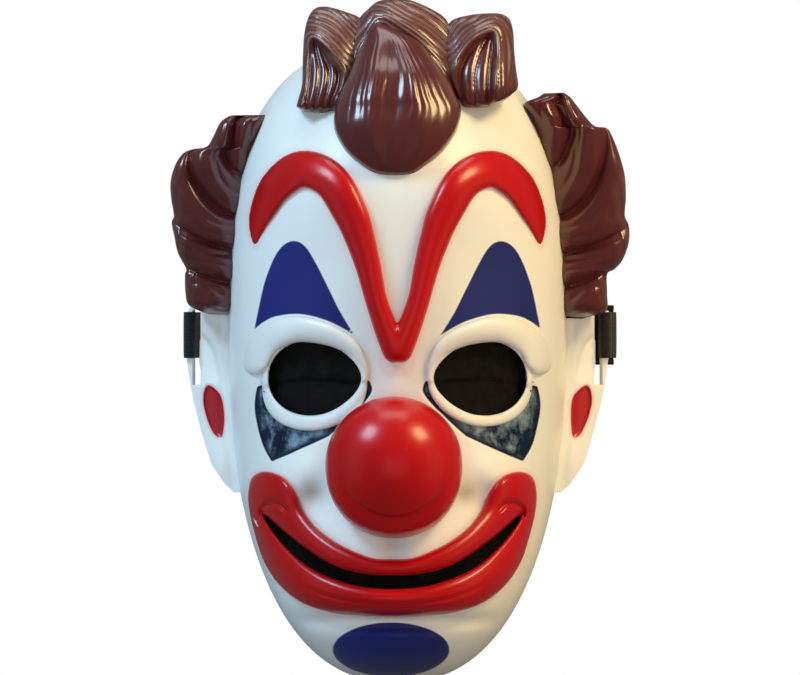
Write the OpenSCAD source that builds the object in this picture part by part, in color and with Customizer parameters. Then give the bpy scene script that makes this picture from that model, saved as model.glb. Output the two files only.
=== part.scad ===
// A moulded half mask of a stock circus clown, held on by an elastic strap.
// Millimetres. The mask looks along -Y, +Z is up, and +X is on the right of somebody who faces it.
// The origin is midway between the two ear bars, on the line that the strap swings about.

/* [Face shell] */
// Width of the face across the temples
face_w = 148; // [140:1:156]
// Depth of the face from the back rim to the front
face_d = 100; // [90:1:110]
// Height of the crown above the widest level
crown_h = 116; // [108:1:124]
// Drop of the chin below the widest level
chin_h = 159.5; // [150:0.5:168]
// Thickness of the moulded wall
wall = 2.2; // [1.8:0.1:3]

/* [Eyes] */
// Distance between the centres of the two eye openings
eye_spacing = 71; // [66:1:76]
// Height of the eye centres
eye_z = -18.5; // [-24:0.5:-14]
// Width of one eye opening
eye_w = 40; // [36:1:43]
// Height of one eye opening
eye_h = 32; // [28:1:34]

/* [Nose] */
// Radius of the ball
nose_r = 29.3; // [24:0.1:31]
// Height of the ball's centre
nose_z = -55.5; // [-58:0.5:-54]
// How far the ball sits to the right of the middle
nose_x = -1.5; // [-3:0.5:3]
// Wall of the hollow ball
nose_wall = 1.8; // [1.4:0.1:2.4]

/* [Mouth] */
// Width of the mouth slit
mouth_w = 112; // [108:1:114]
// Height of the slit at its middle
mouth_h = 6.2; // [5:0.2:6.6]
// How far the smile sits to the right of the middle
mouth_x = -2.2; // [-3:0.1:3]

/* [Strap] */
// Width of the elastic
strap_w = 20; // [16:1:22]
// Thickness of the elastic
strap_t = 1.2; // [1:0.1:1.4]
// Length of the straight run beside each ear
run_l = 64; // [56:1:72]
// Depth of the bow behind the straight runs
bow_d = 48; // [40:1:60]

/* [Slider] */
// Distance of the slider behind the ear bar
slider_y = 56; // [50:0.5:58]
// Length of the slider along the strap
slider_l = 13; // [12:0.5:15]

/* [Hidden] */

paint_white = "#e9e6da";
paint_red = "#c8161c";
hair_brown = "#4a2420";
fabric_black = "#151515";

// Shape of the shell: exponents of its superellipse outlines.
level_z = 10;      // the widest level
crown_n = 2.7;     // front outline above the widest level
jaw_n = 2.36;      // front outline below it
crown_side_n = 2.6; // side outline above
jaw_side_n = 2;    // side outline below
round_n = 2.2;     // level cross-section
rim_y = 2;         // back rim above the jaw
jaw_top_z = -30;   // below this level the rim slopes forward to the chin
jaw_forward = 50;  // how far forward it gets

function smooth(t) = let (k = min(1, max(0, t))) k*k*(3 - 2*k);
function share(z, n_up, n_down, inset) =
    let (h = (z > level_z ? crown_h : chin_h) - inset, n = z > level_z ? n_up : n_down)
    pow(max(0, 1 - pow(min(1, abs(z - level_z)/h), n)), 1/n);
function half_w(z, inset = 0) = (face_w/2 - inset)*share(z, crown_n, jaw_n, inset);
function depth(z, inset = 0) = (face_d - inset)*share(z, crown_side_n, jaw_side_n, inset);
function back_y(z) = rim_y - jaw_forward*smooth((jaw_top_z - z)/(chin_h - level_z + jaw_top_z));
// The front surface of the shell at a place seen from the front. inset is the depth below it.
function skin(x, z, inset = 0) =
    back_y(z) - depth(z, inset)*pow(max(0, 1 - pow(min(1, abs(x)/max(0.01, half_w(z, inset))), round_n)), 1/round_n);

// ---- closed solids from grids of points ----
// rings is a list of closed rings of points, all of one length, capped at both ends.
module lofted(rings, closed = false) {
    k = len(rings[0]);
    n = len(rings);
    points = [for (r = rings) for (p = r) p];
    last = closed ? n - 1 : n - 2;
    sides = [for (i = [0:last], j = [0:k - 1])
        let (a = i*k + j, b = i*k + (j + 1) % k, c = ((i + 1) % n)*k + (j + 1) % k, d = ((i + 1) % n)*k + j)
        each [[a, b, c], [a, c, d]]];
    caps = closed ? [] : concat(
        [for (j = [1:k - 2]) [0, j + 1, j]],
        [for (j = [1:k - 2]) [(n - 1)*k, (n - 1)*k + j, (n - 1)*k + j + 1]]);
    polyhedron(points = points, faces = concat(sides, caps), convexity = 8);
}

// A smooth curve through hand-set points, as [x, z, half width, height].
function spline_at(p, i, t) =
    let (n = len(p), a = p[max(0, i - 1)], b = p[i], c = p[min(n - 1, i + 1)], d = p[min(n - 1, i + 2)])
    0.5*(2*b + (c - a)*t + (2*a - 5*b + 4*c - d)*t*t + (3*b - a - 3*c + d)*t*t*t);
function spline(p, steps) = concat(
    [for (i = [0:len(p) - 2], s = [0:steps - 1]) spline_at(p, i, s/steps)], [p[len(p) - 1]]);

// A raised ridge that follows the shell. Its foot sits in the wall and its top bulges by the height.
ridge_across = 8;
foot = 1.2;
function ridge_ring(c, nx, nz) = concat(
    [for (s = [0:ridge_across]) let (a = -1 + 2*s/ridge_across, x = c[0] + a*c[2]*nx, z = c[1] + a*c[2]*nz)
        [x, skin(x, z) - c[3]*sqrt(max(0, 1 - a*a)), z]],
    [for (s = [ridge_across:-1:0]) let (a = -1 + 2*s/ridge_across, x = c[0] + a*c[2]*nx, z = c[1] + a*c[2]*nz)
        [x, skin(x, z) + foot, z]]);
function heading(c, i, wrap) =
    let (n = len(c), a = c[wrap ? (i + n - 1) % n : max(0, i - 1)], b = c[wrap ? (i + 1) % n : min(n - 1, i + 1)],
         l = norm([b[0] - a[0], b[1] - a[1]]))
    [-(b[1] - a[1])/l, (b[0] - a[0])/l];
module ridge(c, wrap = false) {
    lofted([for (i = [0:len(c) - 1]) let (h = heading(c, i, wrap)) ridge_ring(c[i], h[0], h[1])], wrap);
}

// ---- outlines seen from the front ----
// An eye opening: rounder outside, drawn in towards the nose.
function eye_edge(side, a, grow = 0) = [
    side*(eye_spacing/2 + (eye_w/2 + grow)*cos(a)),
    eye_z + (eye_h/2*(1 + 0.1*cos(a) - 0.16*pow(max(0, -cos(a)), 2)) + grow)*sin(a)];
module eye_outline(side, grow = 0) {
    polygon([for (a = [0:12:348]) eye_edge(side, a, grow)]);
}

// The middle line of the smile, and half the slit's height there. x counts from the smile's own middle.
smile_z = -105.8;
smile_rise = 29;
function smile(x) = smile_z + smile_rise*pow(abs(x)/(mouth_w/2), 2.4);
function slit_half(x) = mouth_h/2*pow(max(0, 1 - pow(abs(x)/(mouth_w/2), 5)), 0.5);
slit_step = mouth_w/24;
module slit_outline() {
    xs = [for (i = [-12:12]) i*slit_step];
    translate([mouth_x, 0])
        polygon(concat([for (x = xs) [x, smile(x) - slit_half(x)]],
                       [for (i = [24:-1:0]) [xs[i], smile(xs[i]) + slit_half(xs[i]) + 0.01]]));
}

// ---- ears, moulded in one with the shell ----
ear_back = 0.65;     // how far an ear leans back for each millimetre outwards
ear_foot_x = 68;
ear_foot_y = -14.6;
ear_t = 2.4;
bar_in = 88.8;
bar_out = 91.2;
slot_in = 85.2;
slot_top = 11;
slot_foot = -21.5;
ear_levels = 10;
ear_top = 13;
ear_foot = -68;
module ear_outline() {
    difference() {
        polygon(concat(
            [for (i = [0:ear_levels]) let (z = ear_top + (ear_foot - ear_top)*i/ear_levels) [half_w(z) - 1, z]],
            [[74.6, -64.5], [80.4, -56], [83.4, -47], [85.8, -38], [88, -30], [89.4, -21.5], [bar_out, -11],
             [bar_out, 8], [89.5, 13], [80, 15]]));
        translate([slot_in, slot_foot]) square([bar_in - slot_in, slot_top - slot_foot]);
    }
}
module ear() {
    multmatrix([[1, 0, 0, 0], [ear_back, 1, 0, ear_foot_y - ear_back*ear_foot_x], [0, 0, 1, 0], [0, 0, 0, 1]])
        rotate([90, 0, 0]) linear_extrude(ear_t, center = true) ear_outline();
}

// ---- face shell ----
rows = 26;
cols = 30;
function row_z(i, inset) = let (v = -90 + 180*i/rows, h = (v > 0 ? crown_h : chin_h) - inset)
    level_z + sign(v)*h*pow(abs(sin(v)), 2/2.5);
function col_x(j) = let (u = -90 + 180*j/cols) sign(u)*pow(abs(sin(u)), 2/round_n);
function shell_point(i, j, inset) = let (z = row_z(i, inset), x = col_x(j)*half_w(z, inset)) [x, skin(x, z, inset), z];
// The space that the shell fills up, to a depth below its surface. It cuts the backs of what is bonded on.
module core(inset) {
    m = cols + 1;
    foot_z = level_z - chin_h + inset;
    points = concat([for (i = [1:rows - 1], j = [0:cols]) shell_point(i, j, inset)],
                    [[0, back_y(foot_z), foot_z], [0, rim_y, level_z + crown_h - inset]]);
    n = m*(rows - 1);
    e = rows - 2;
    function at(i, j) = i*m + j;
    faces = concat(
        [for (i = [0:rows - 3], j = [0:cols - 1]) each [
            [at(i, j), at(i + 1, j), at(i + 1, j + 1)], [at(i, j), at(i + 1, j + 1), at(i, j + 1)]]],
        [for (i = [0:rows - 3]) each [
            [at(i, 0), at(i, cols), at(i + 1, cols)], [at(i, 0), at(i + 1, cols), at(i + 1, 0)]]],
        [for (j = [0:cols - 1]) each [[n, at(0, j), at(0, j + 1)], [n + 1, at(e, j + 1), at(e, j)]]],
        [[n, at(0, cols), at(0, 0)], [n + 1, at(e, 0), at(e, cols)]]);
    polyhedron(points = points, faces = faces, convexity = 8);
}
// One solid of whatever is given, with its back cut to the shell.
bond = 1.1;
module bonded() {
    resize([0, 0, 0]) difference() {
        union() children();
        core(bond);
    }
}
module blank() {
    m = cols + 1;
    outer = [for (i = [1:rows - 1], j = [0:cols]) shell_point(i, j, 0)];
    inner = [for (i = [1:rows - 1], j = [0:cols]) shell_point(i, j, wall)];
    n = len(outer);
    foot_z = level_z - chin_h;
    top_z = level_z + crown_h;
    poles = [[0, back_y(foot_z), foot_z], [0, back_y(foot_z), foot_z + wall],
             [0, rim_y, top_z], [0, rim_y, top_z - wall]];
    function at(i, j) = i*m + j;
    skin_faces = [for (i = [0:rows - 3], j = [0:cols - 1]) each [
        [at(i, j), at(i + 1, j), at(i + 1, j + 1)], [at(i, j), at(i + 1, j + 1), at(i, j + 1)],
        [n + at(i, j), n + at(i + 1, j + 1), n + at(i + 1, j)], [n + at(i, j), n + at(i, j + 1), n + at(i + 1, j + 1)]]];
    rim_faces = [for (i = [0:rows - 3]) each [
        [at(i, 0), n + at(i, 0), n + at(i + 1, 0)], [at(i, 0), n + at(i + 1, 0), at(i + 1, 0)],
        [at(i, cols), n + at(i + 1, cols), n + at(i, cols)], [at(i, cols), at(i + 1, cols), n + at(i + 1, cols)]]];
    e = rows - 2;
    pole_faces = concat(
        [for (j = [0:cols - 1]) each [
            [2*n, at(0, j), at(0, j + 1)], [2*n + 1, n + at(0, j + 1), n + at(0, j)],
            [2*n + 2, at(e, j + 1), at(e, j)], [2*n + 3, n + at(e, j), n + at(e, j + 1)]]],
        [[2*n, n + at(0, 0), at(0, 0)], [2*n, 2*n + 1, n + at(0, 0)],
         [2*n, at(0, cols), n + at(0, cols)], [2*n, n + at(0, cols), 2*n + 1],
         [2*n + 2, at(e, 0), n + at(e, 0)], [2*n + 2, n + at(e, 0), 2*n + 3],
         [2*n + 2, n + at(e, cols), at(e, cols)], [2*n + 2, 2*n + 3, n + at(e, cols)]]);
    polyhedron(points = concat(outer, inner, poles), faces = concat(skin_faces, rim_faces, pole_faces), convexity = 8);
}
nose_well_r = 17; // the hole behind the ball, for the wearer's nose
module face_shell() {
    color(paint_white) resize([0, 0, 0]) difference() {
        union() {
            blank();
            ear();
            mirror([1, 0, 0]) ear();
        }
        for (side = [-1, 1]) translate([0, -30, 0]) rotate([90, 0, 0]) linear_extrude(90) eye_outline(side);
        translate([0, -30, 0]) rotate([90, 0, 0]) linear_extrude(90) slit_outline();
        translate([nose_x, -60, nose_z]) rotate([90, 0, 0]) cylinder(r = nose_well_r, h = 60, $fn = 32);
    }
}

// ---- hair, moulded locks bonded to the shell ----
// A lock is a tapering strand with grooves along it: [x, z, half width, half depth, y].
strands = 5;
groove = 0.06;
lock_around = 20;
function lock_ring(c, h) = [for (k = [0:lock_around - 1])
    let (a = 360*k/lock_around, r = 1 + groove*cos(strands*a))
    [c[0] + c[2]*r*cos(a)*h[0], c[4] + c[3]*r*sin(a), c[1] + c[2]*r*cos(a)*h[1]]];
module lock(p) {
    c = spline(p, 2);
    lofted([for (i = [0:len(c) - 1]) lock_ring(c[i], heading(c, i, false))]);
}
module hair_top_centre() {
    color(hair_brown) bonded() {
        // the drop that hangs over the forehead
        lock([[-8, 134, 1.5, 2, -60], [-8, 130, 6, 8, -61], [-6, 121, 13, 13, -64], [-2, 110, 20, 15, -70],
              [0, 98, 25, 16, -75], [0, 88, 24.5, 14, -80], [-0.3, 78, 18.5, 11, -84], [-0.4, 71, 10, 6, -88],
              [-0.5, 68.5, 3, 2.5, -90]]);
        // the crest behind it
        lock([[-12, 108, 8, 10, -50], [-11, 122, 11, 13, -50], [-8, 134, 9, 10, -47], [-3, 142, 5, 6, -45],
              [-1, 145, 1.5, 2, -45]]);
        lock([[10, 108, 10, 10, -50], [11, 122, 12, 13, -49], [9, 134, 10, 10, -46], [7, 141, 5, 6, -44],
              [6, 144, 1.5, 2, -44]]);
        lock([[21, 108, 6, 10, -53], [20, 122, 8, 12, -50], [18, 131, 6, 8, -49], [17, 136, 1.5, 2, -49]]);
    }
}
module hair_top_left() {
    color(hair_brown) bonded()
        lock([[-36.5, 95.5, 4, 5, -60], [-36, 101, 7, 10, -58], [-33.5, 112, 9, 13, -54], [-30.5, 124, 11, 13, -51],
              [-28.5, 133, 11.5, 11, -49], [-29, 139, 8, 7, -47], [-30, 141.4, 2.5, 2.5, -47]]);
}
module hair_top_right() {
    color(hair_brown) bonded()
        lock([[38, 97, 5, 5, -60], [39.5, 102, 10, 10, -57], [39.5, 112, 12, 13, -54], [38, 123, 12.5, 13, -51],
              [37, 131, 12.5, 11, -49], [38, 136.5, 9, 7, -47], [39, 138.5, 3, 2.5, -47]]);
}
// Four swept locks, each behind the next. They lie on the outside of the shell above an ear.
hair_foot_z = 10;
hair_foot_x = 70;
module hair_side(wide, tall) {
    function placed(p) = [for (c = p)
        [hair_foot_x + (c[0] - hair_foot_x)*wide, hair_foot_z + (c[1] - hair_foot_z)*tall, c[2], c[3], c[4]]];
    bonded() {
        lock(placed([[61, 98, 2, 4, -26], [68, 98, 5.5, 9, -23], [75, 88, 9, 12, -20], [78, 74, 10, 13, -20],
                     [77, 60, 9, 12, -20], [75, 48, 5, 9, -20], [74, 41, 1.5, 3, -20]]));
        lock(placed([[81, 91, 1.5, 3, -19], [86, 84, 5.5, 9, -19], [88, 72, 8.5, 12, -19], [86, 58, 9.5, 12, -19],
                     [81, 44, 8, 11, -20], [76, 34, 4, 7, -20], [74, 28, 1.5, 2, -20]]));
        lock(placed([[95, 78, 1.5, 3, -18], [93, 68, 5, 8, -18], [91.5, 54, 8, 11, -18], [87, 40, 9, 11, -18],
                     [81, 28, 7, 10, -18], [77, 19, 2, 4, -18]]));
        lock(placed([[98, 54, 1.5, 3, -17], [94.5, 43, 5, 8, -17], [89.5, 32, 7, 10, -17], [85.5, 21, 6.3, 9, -17],
                     [83.5, 13, 6, 7, -17], [83, 8.5, 2, 3, -17]]));
    }
}
module hair_side_left() { color(hair_brown) mirror([1, 0, 0]) hair_side(0.95, 0.89); }
module hair_side_right() { color(hair_brown) hair_side(1, 1); }

// ---- nose: a hollow ball on a lip, open behind ----
nose_front = 11; // the ball's centre in front of the skin
lip_drop = 3;    // the lip hangs lower than the ball
lip_front = 6;
lip_r = 28.8;
lip_flat = 0.36;
module nose() {
    color(paint_red) bonded() difference() {
        translate([nose_x, skin(0, nose_z), nose_z]) union() {
            translate([0, -nose_front, 0]) sphere(r = nose_r, $fn = 48);
            translate([0, -lip_front, -lip_drop]) scale([1, lip_flat, 1]) sphere(r = lip_r, $fn = 40);
        }
        translate([nose_x, skin(0, nose_z) - nose_front, nose_z]) sphere(r = nose_r - nose_wall, $fn = 32);
    }
}

// ---- painted ridges ----
// Middle line of half the brow from its tip to the bridge: [x, z, half width, height].
brow_half = [[61.5, 39, 0.8, 0.8], [60.6, 45, 3.4, 3], [58.3, 52, 5.4, 4.5], [52, 64, 7.2, 5.4], [41.3, 71.2, 8, 5.8],
             [29, 66.5, 8, 5.8], [20, 52, 7.4, 5.6], [16, 41, 6.5, 5.4], [12.5, 29.2, 5.5, 5.2], [9.7, 16, 4.7, 5],
             [5.6, 4, 4.8, 5], [1.4, -5.6, 5.4, 5], [-1, -8.5, 3, 3.4]];
module brow_ridge() {
    color(paint_red) resize([0, 0, 0]) union() {
        ridge(spline(brow_half, 2));
        mirror([1, 0, 0]) ridge(spline(brow_half, 2));
    }
}
// Each half of a lip runs from the corner of the smile to its middle. The upper one starts in the corner's bulb.
upper_half = [[59, -66.5, 3, 2.5], [55.5, -66.3, 7, 5], [50, -69.6, 7.6, 5.6], [42.8, -77, 7, 5.6], [33, -87.8, 6, 5.2],
              [20, -95.4, 4.6, 4.6], [8, -98.6, 3.5, 4.2]];
upper_middle = [0, -99.3, 3.2, 4];
lower_half = [[59.4, -71, 2, 3], [59.4, -77, 2.4, 3.5], [56.6, -86.3, 3.2, 4.5], [51.4, -96.4, 5.6, 5.5],
              [43.5, -104.3, 7, 6], [31.8, -109.8, 7, 6], [16, -113.6, 6.1, 6]];
lower_middle = [0, -115, 5.5, 6];
function whole_lip(half, middle) = [for (c = concat(half, [middle], [for (i = [len(half) - 1:-1:0])
    let (p = half[i]) [-p[0], p[1], p[2], p[3]]])) [c[0] + mouth_x, c[1], c[2], c[3]]];
module upper_lip() { color(paint_red) ridge(spline(whole_lip(upper_half, upper_middle), 2)); }
module lower_lip() { color(paint_red) ridge(spline(whole_lip(lower_half, lower_middle), 2)); }

// The lid is thick over the outer corner and thin below.
lid_steps = 36;
function lid_half(a) = 1.7 + 3.7*smooth((cos(a - 48) - 0.1)/0.45) + 1.1*smooth(-sin(a));
module eyelid(side) {
    c = [for (i = [0:lid_steps - 1]) let (a = 360*i/lid_steps, h = lid_half(a), p = eye_edge(side, a, h + 0.2))
        [p[0], p[1], h, 2.4 + 0.5*h]];
    color(paint_white) ridge(side > 0 ? c : [for (i = [lid_steps - 1:-1:0]) c[i]], true);
}

// ---- black mesh behind the openings ----
mesh_t = 0.8;
mesh_in = wall + 0.5; // depth of a panel's front below the skin, measured square to the wall
mesh_rings = 5;
// A panel that follows the inside of the wall, from rings of one outline.
module mesh_panel(edge, centre) {
    k = len(edge);
    function place(p, back) = [p[0], skin(p[0], p[1], mesh_in + back), p[1]];
    function point(i, j) = centre + (edge[j] - centre)*i/mesh_rings;
    front = [for (i = [1:mesh_rings], j = [0:k - 1]) place(point(i, j), 0)];
    rear = [for (i = [1:mesh_rings], j = [0:k - 1]) place(point(i, j), mesh_t)];
    n = len(front);
    turn = [for (j = [0:k - 1]) (j + 1) % k];
    faces = concat(
        [for (j = [0:k - 1]) each [[2*n, j, turn[j]], [2*n + 1, n + turn[j], n + j]]],
        [for (i = [0:mesh_rings - 2], j = [0:k - 1]) let (a = i*k + j, b = i*k + turn[j], c = b + k, d = a + k)
            each [[a, d, c], [a, c, b], [n + a, n + c, n + d], [n + a, n + b, n + c]]],
        [for (j = [0:k - 1]) let (a = (mesh_rings - 1)*k + j, b = (mesh_rings - 1)*k + turn[j])
            each [[a, n + a, n + b], [a, n + b, b]]]);
    polyhedron(points = concat(front, rear, [place(centre, 0), place(centre, mesh_t)]), faces = faces, convexity = 4);
}
mesh_lap = 5;
module eye_mesh(side) {
    color(fabric_black) mesh_panel([for (i = [0:27]) eye_edge(side, side*360*i/28, mesh_lap)],
                                   [side*eye_spacing/2, eye_z]);
}
mouth_mesh_half = 9;
module mouth_mesh() {
    // The panel bends round the smile, so it is lofted from upright strips.
    color(fabric_black) lofted([for (i = [-12:12])
        let (u = (mouth_w/2 + 2)*i/12, m = smile(u), x = u + mouth_x)
        concat([for (s = [-2:2]) let (z = m + s*mouth_mesh_half/2) [x, skin(x, z, mesh_in), z]],
               [for (s = [2:-1:-2]) let (z = m + s*mouth_mesh_half/2) [x, skin(x, z, mesh_in + mesh_t), z]])]);
}
// A dot soaks through its panel and just into the wall, short of the feet of the lids and lips.
glue_r = 1.6;
module mesh_glue_dots() {
    module dot(x, z) { translate([x, skin(x, z, mesh_in + mesh_t), z]) sphere(r = glue_r, $fn = 24); }
    color("#d8cfa8") {
        for (side = [-1, 1], a = [20:60:320]) let (p = eye_edge(side, a, mesh_lap - 1)) dot(p[0], p[1]);
        for (u = [-36, -12, 12, 36]) {
            dot(u + mouth_x, smile(u) + mouth_mesh_half - 1);
            dot(u + mouth_x, smile(u) - mouth_mesh_half + 1);
        }
    }
}

// ---- elastic strap ----
lane_in = 89.4;   // middle of the main layer beside the ear
lane_out = 91;    // middle of the doubled layer outside it
cut_r = 26;       // the band swings inside the loops about this radius
cut_gap = 0.3;
fold_x = (87.6 + 92.1)/2;
fold_r = (92.1 - 87.6)/2;
// A flat outline of even thickness along a path in plan.
function beside(p, i, d) =
    let (n = len(p), a = p[max(0, i - 1)], b = p[min(n - 1, i + 1)], l = norm(b - a))
    p[i] + d*[-(b[1] - a[1]), b[0] - a[0]]/l;
module ribbon(p, height) {
    n = len(p);
    translate([0, 0, -height/2]) linear_extrude(height)
        polygon(concat([for (i = [0:n - 1]) beside(p, i, strap_t/2)], [for (i = [n - 1:-1:0]) beside(p, i, -strap_t/2)]));
}
module swing_cylinder(r) { rotate([0, 90, 0]) cylinder(r = r, h = 240, center = true, $fn = 96); }
// The elastic passes through the ear slot, round the bar and back.
module ear_loop() {
    path = concat(
        [[lane_in, 40], [lane_in, 12], [88.2, 5], [87.6, 1], [87.6, -1.2]],
        [for (a = [160:-20:20]) [fold_x + fold_r*cos(a), -1.2 - fold_r*sin(a)]],
        [[92.1, -1.2], [92.1, 1], [91.9, 5], [lane_out, 12], [lane_out, 40]]);
    intersection() {
        ribbon(path, strap_w);
        swing_cylinder(cut_r - cut_gap);
    }
}
module ear_loop_left() { color(fabric_black) mirror([1, 0, 0]) ear_loop(); }
module ear_loop_right() { color(fabric_black) ear_loop(); }
tack_w = 1.2;
tack_h = 15;
module bar_tack(y, x0, x1) {
    for (i = [-1:1]) translate([x0, y + i*2 - tack_w/2, -tack_h/2]) cube([x1 - x0, tack_w, tack_h]);
}
module bar_tack_left() {
    color("#2a2a2a") mirror([1, 0, 0]) bar_tack(18, lane_in - strap_t/2 - 0.4, lane_out + strap_t/2 + 0.4);
}
bow_steps = 30;
module strap_band() {
    path = concat([[lane_in, 8]], [for (i = [0:bow_steps]) let (a = 180*i/bow_steps)
        [lane_in*cos(a), run_l + bow_d*sin(a)]], [[-lane_in, 8]]);
    color(fabric_black) difference() {
        ribbon(path, strap_w);
        swing_cylinder(cut_r);
    }
}
slider_bar = 2.2;
loop_front = slider_y - 9; // the doubled layer runs from the ear loop to here
module strap_return() {
    color(fabric_black) difference() {
        ribbon([[lane_out, 8], [lane_out, loop_front - 0.3]], strap_w);
        swing_cylinder(cut_r);
    }
}
// The slider's end bars lie inside the strap and its middle bar outside, so the strap runs straight through.
slider_in = 85.9;
slider_out = 94.2;
rail = 2.4;
module strap_slider() {
    inner_w = strap_w + 1.2;
    color(fabric_black) union() {
        for (side = [-1, 1]) translate([slider_in, slider_y - slider_l/2, side*(inner_w/2 + rail/2) - rail/2])
            cube([slider_out - slider_in, slider_l, rail]);
        for (y = [slider_y - slider_l/2, slider_y + slider_l/2 - slider_bar])
            translate([slider_in, y, -inner_w/2 - 0.5]) cube([slider_bar, slider_bar, inner_w + 1]);
        translate([slider_out - slider_bar/2, slider_y, 0]) cylinder(r = slider_bar/2, h = inner_w + 1, center = true, $fn = 32);
    }
}
// The end of the elastic, folded round the middle bar and sewn to itself.
module slider_loop() {
    bar_x = slider_out - slider_bar/2;
    r = slider_bar/2 + strap_t/2 + 0.1;
    path = concat([[lane_out + 0.1, loop_front], [lane_out + 0.1, slider_y - 3], [bar_x - r, slider_y]],
                  [for (a = [160:-20:20]) [bar_x + r*cos(a), slider_y + r*sin(a)]],
                  [[bar_x + r, slider_y], [lane_out + strap_t + 1.2, slider_y - 2.6],
                   [lane_out + strap_t + 0.15, slider_y - 4.8], [lane_out + strap_t + 0.15, loop_front]]);
    color(fabric_black) ribbon(path, strap_w);
}
module bar_tack_right() {
    color("#2a2a2a") bar_tack(loop_front + 2.8, lane_out - strap_t/2 - 0.1, lane_out + 3*strap_t/2 + 0.35);
}

face_shell();
hair_top_centre();
hair_top_left();
hair_top_right();
hair_side_left();
hair_side_right();
nose();
brow_ridge();
upper_lip();
lower_lip();
eyelid(-1);  // eyelid_left
eyelid(1);  // eyelid_right
eye_mesh(-1);  // eye_mesh_left
eye_mesh(1);  // eye_mesh_right
mouth_mesh();
mesh_glue_dots();
ear_loop_left();
ear_loop_right();
bar_tack_left();
strap_band();
strap_return();
strap_slider();
slider_loop();
bar_tack_right();
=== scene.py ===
# %% [markdown]
# # A moulded clown mask
# This is a half mask: a thin face shell with ears, raised hair, a hollow ball nose, and raised lips, lids
# and brow, all painted. Black mesh closes the eye and mouth openings from inside, and an elastic strap runs
# from one ear to the other. Everything is made around the imported frame, so the first cell loads it.

import math

import bpy
import numpy as np
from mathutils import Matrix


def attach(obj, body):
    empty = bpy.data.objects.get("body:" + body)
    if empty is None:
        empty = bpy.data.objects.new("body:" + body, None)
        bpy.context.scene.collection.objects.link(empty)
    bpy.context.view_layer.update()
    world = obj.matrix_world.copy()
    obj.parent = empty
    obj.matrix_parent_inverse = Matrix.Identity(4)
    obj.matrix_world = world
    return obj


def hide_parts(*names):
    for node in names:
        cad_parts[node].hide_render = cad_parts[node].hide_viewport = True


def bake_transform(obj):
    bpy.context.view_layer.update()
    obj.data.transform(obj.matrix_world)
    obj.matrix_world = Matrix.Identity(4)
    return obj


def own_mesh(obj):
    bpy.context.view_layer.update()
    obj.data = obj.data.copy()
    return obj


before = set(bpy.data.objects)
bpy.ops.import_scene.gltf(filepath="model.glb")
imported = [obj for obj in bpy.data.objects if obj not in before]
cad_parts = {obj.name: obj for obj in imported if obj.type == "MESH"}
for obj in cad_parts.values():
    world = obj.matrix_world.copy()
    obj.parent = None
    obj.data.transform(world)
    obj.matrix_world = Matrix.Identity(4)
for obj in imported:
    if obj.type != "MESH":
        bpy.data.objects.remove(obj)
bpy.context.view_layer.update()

# %% [markdown]
# The camera stands straight in front of the mask, a long way off with a long lens, so that what is nearer
# isn't drawn much larger. The two soft lights differ: the left one is cool and the right one warm, which
# gives white paint a blue side and a cream side. A floor lies well below, because a mask hangs on a head.

# %% Camera and lights
VIEW_WIDTH = 0.344
VIEW_CENTRE = (0.0011, -0.06, -0.0011)
CAMERA_AWAY = 9.0
camera_data = bpy.data.cameras.new("front_camera")
camera_data.sensor_width = 36
camera_data.lens = 36 * CAMERA_AWAY / VIEW_WIDTH
camera_data.clip_end = 60
camera = bpy.data.objects.new("front_camera", camera_data)
bpy.context.scene.collection.objects.link(camera)
camera.location = (VIEW_CENTRE[0], VIEW_CENTRE[1] - CAMERA_AWAY, VIEW_CENTRE[2])
camera.rotation_euler = (math.radians(90), 0, 0)
bpy.context.scene.camera = camera
bpy.context.scene.view_settings.view_transform = "Standard"


def soft_light(name, place, aim, size, watts, colour):
    data = bpy.data.lights.new(name, "AREA")
    data.shape = "RECTANGLE"
    data.size, data.size_y = size
    data.energy = watts
    data.color = colour
    light = bpy.data.objects.new(name, data)
    bpy.context.scene.collection.objects.link(light)
    light.location = place
    away = [a - p for a, p in zip(aim, place)]
    flat = math.hypot(away[0], away[1])
    light.rotation_euler = (math.atan2(flat, -away[2]), 0, math.atan2(-away[0], away[1]))
    return light


soft_light("cool_left", (-0.78, -0.50, 0.98), (0, -0.05, 0), (0.42, 0.42), 11.5, (0.52, 0.78, 1.0))
soft_light("warm_right", (0.80, -0.50, 0.94), (0, -0.05, 0), (0.42, 0.42), 12.5, (1.0, 0.74, 0.36))
soft_light("top_fill", (0.0, 0.05, 1.2), (0, 0, 0), (0.7, 0.5), 3.5, (1.0, 0.97, 0.93))
# The fills lift the shadows and tint the two cheeks. They aren't mirrored in the gloss, as real ones would be
# kept off it with large diffusers.
fills = [
    soft_light("front_fill", (0.0, -1.9, -0.1), (0, 0, 0), (1.2, 0.8), 8, (1.0, 0.97, 0.93)),
    soft_light("cool_fill", (-1.25, -0.45, 0.0), (0, 0, 0), (0.8, 1.0), 6.5, (0.45, 0.74, 1.0)),
    soft_light("warm_fill", (1.25, -0.45, 0.0), (0, 0, 0), (0.8, 1.0), 7, (1.0, 0.74, 0.36))]
for fill in fills:
    fill.visible_glossy = False

world = bpy.data.worlds.new("white_room")
bpy.context.scene.world = world
world.use_nodes = True
room = world.node_tree.nodes
ray = room.new("ShaderNodeLightPath")
level = room.new("ShaderNodeMapRange")
level.inputs["To Min"].default_value = 0.13
level.inputs["To Max"].default_value = 1.0
world.node_tree.links.new(ray.outputs["Is Camera Ray"], level.inputs["Value"])
world.node_tree.links.new(level.outputs["Result"], room["Background"].inputs["Strength"])
room["Background"].inputs["Color"].default_value = (1, 1, 1, 1)

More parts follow.
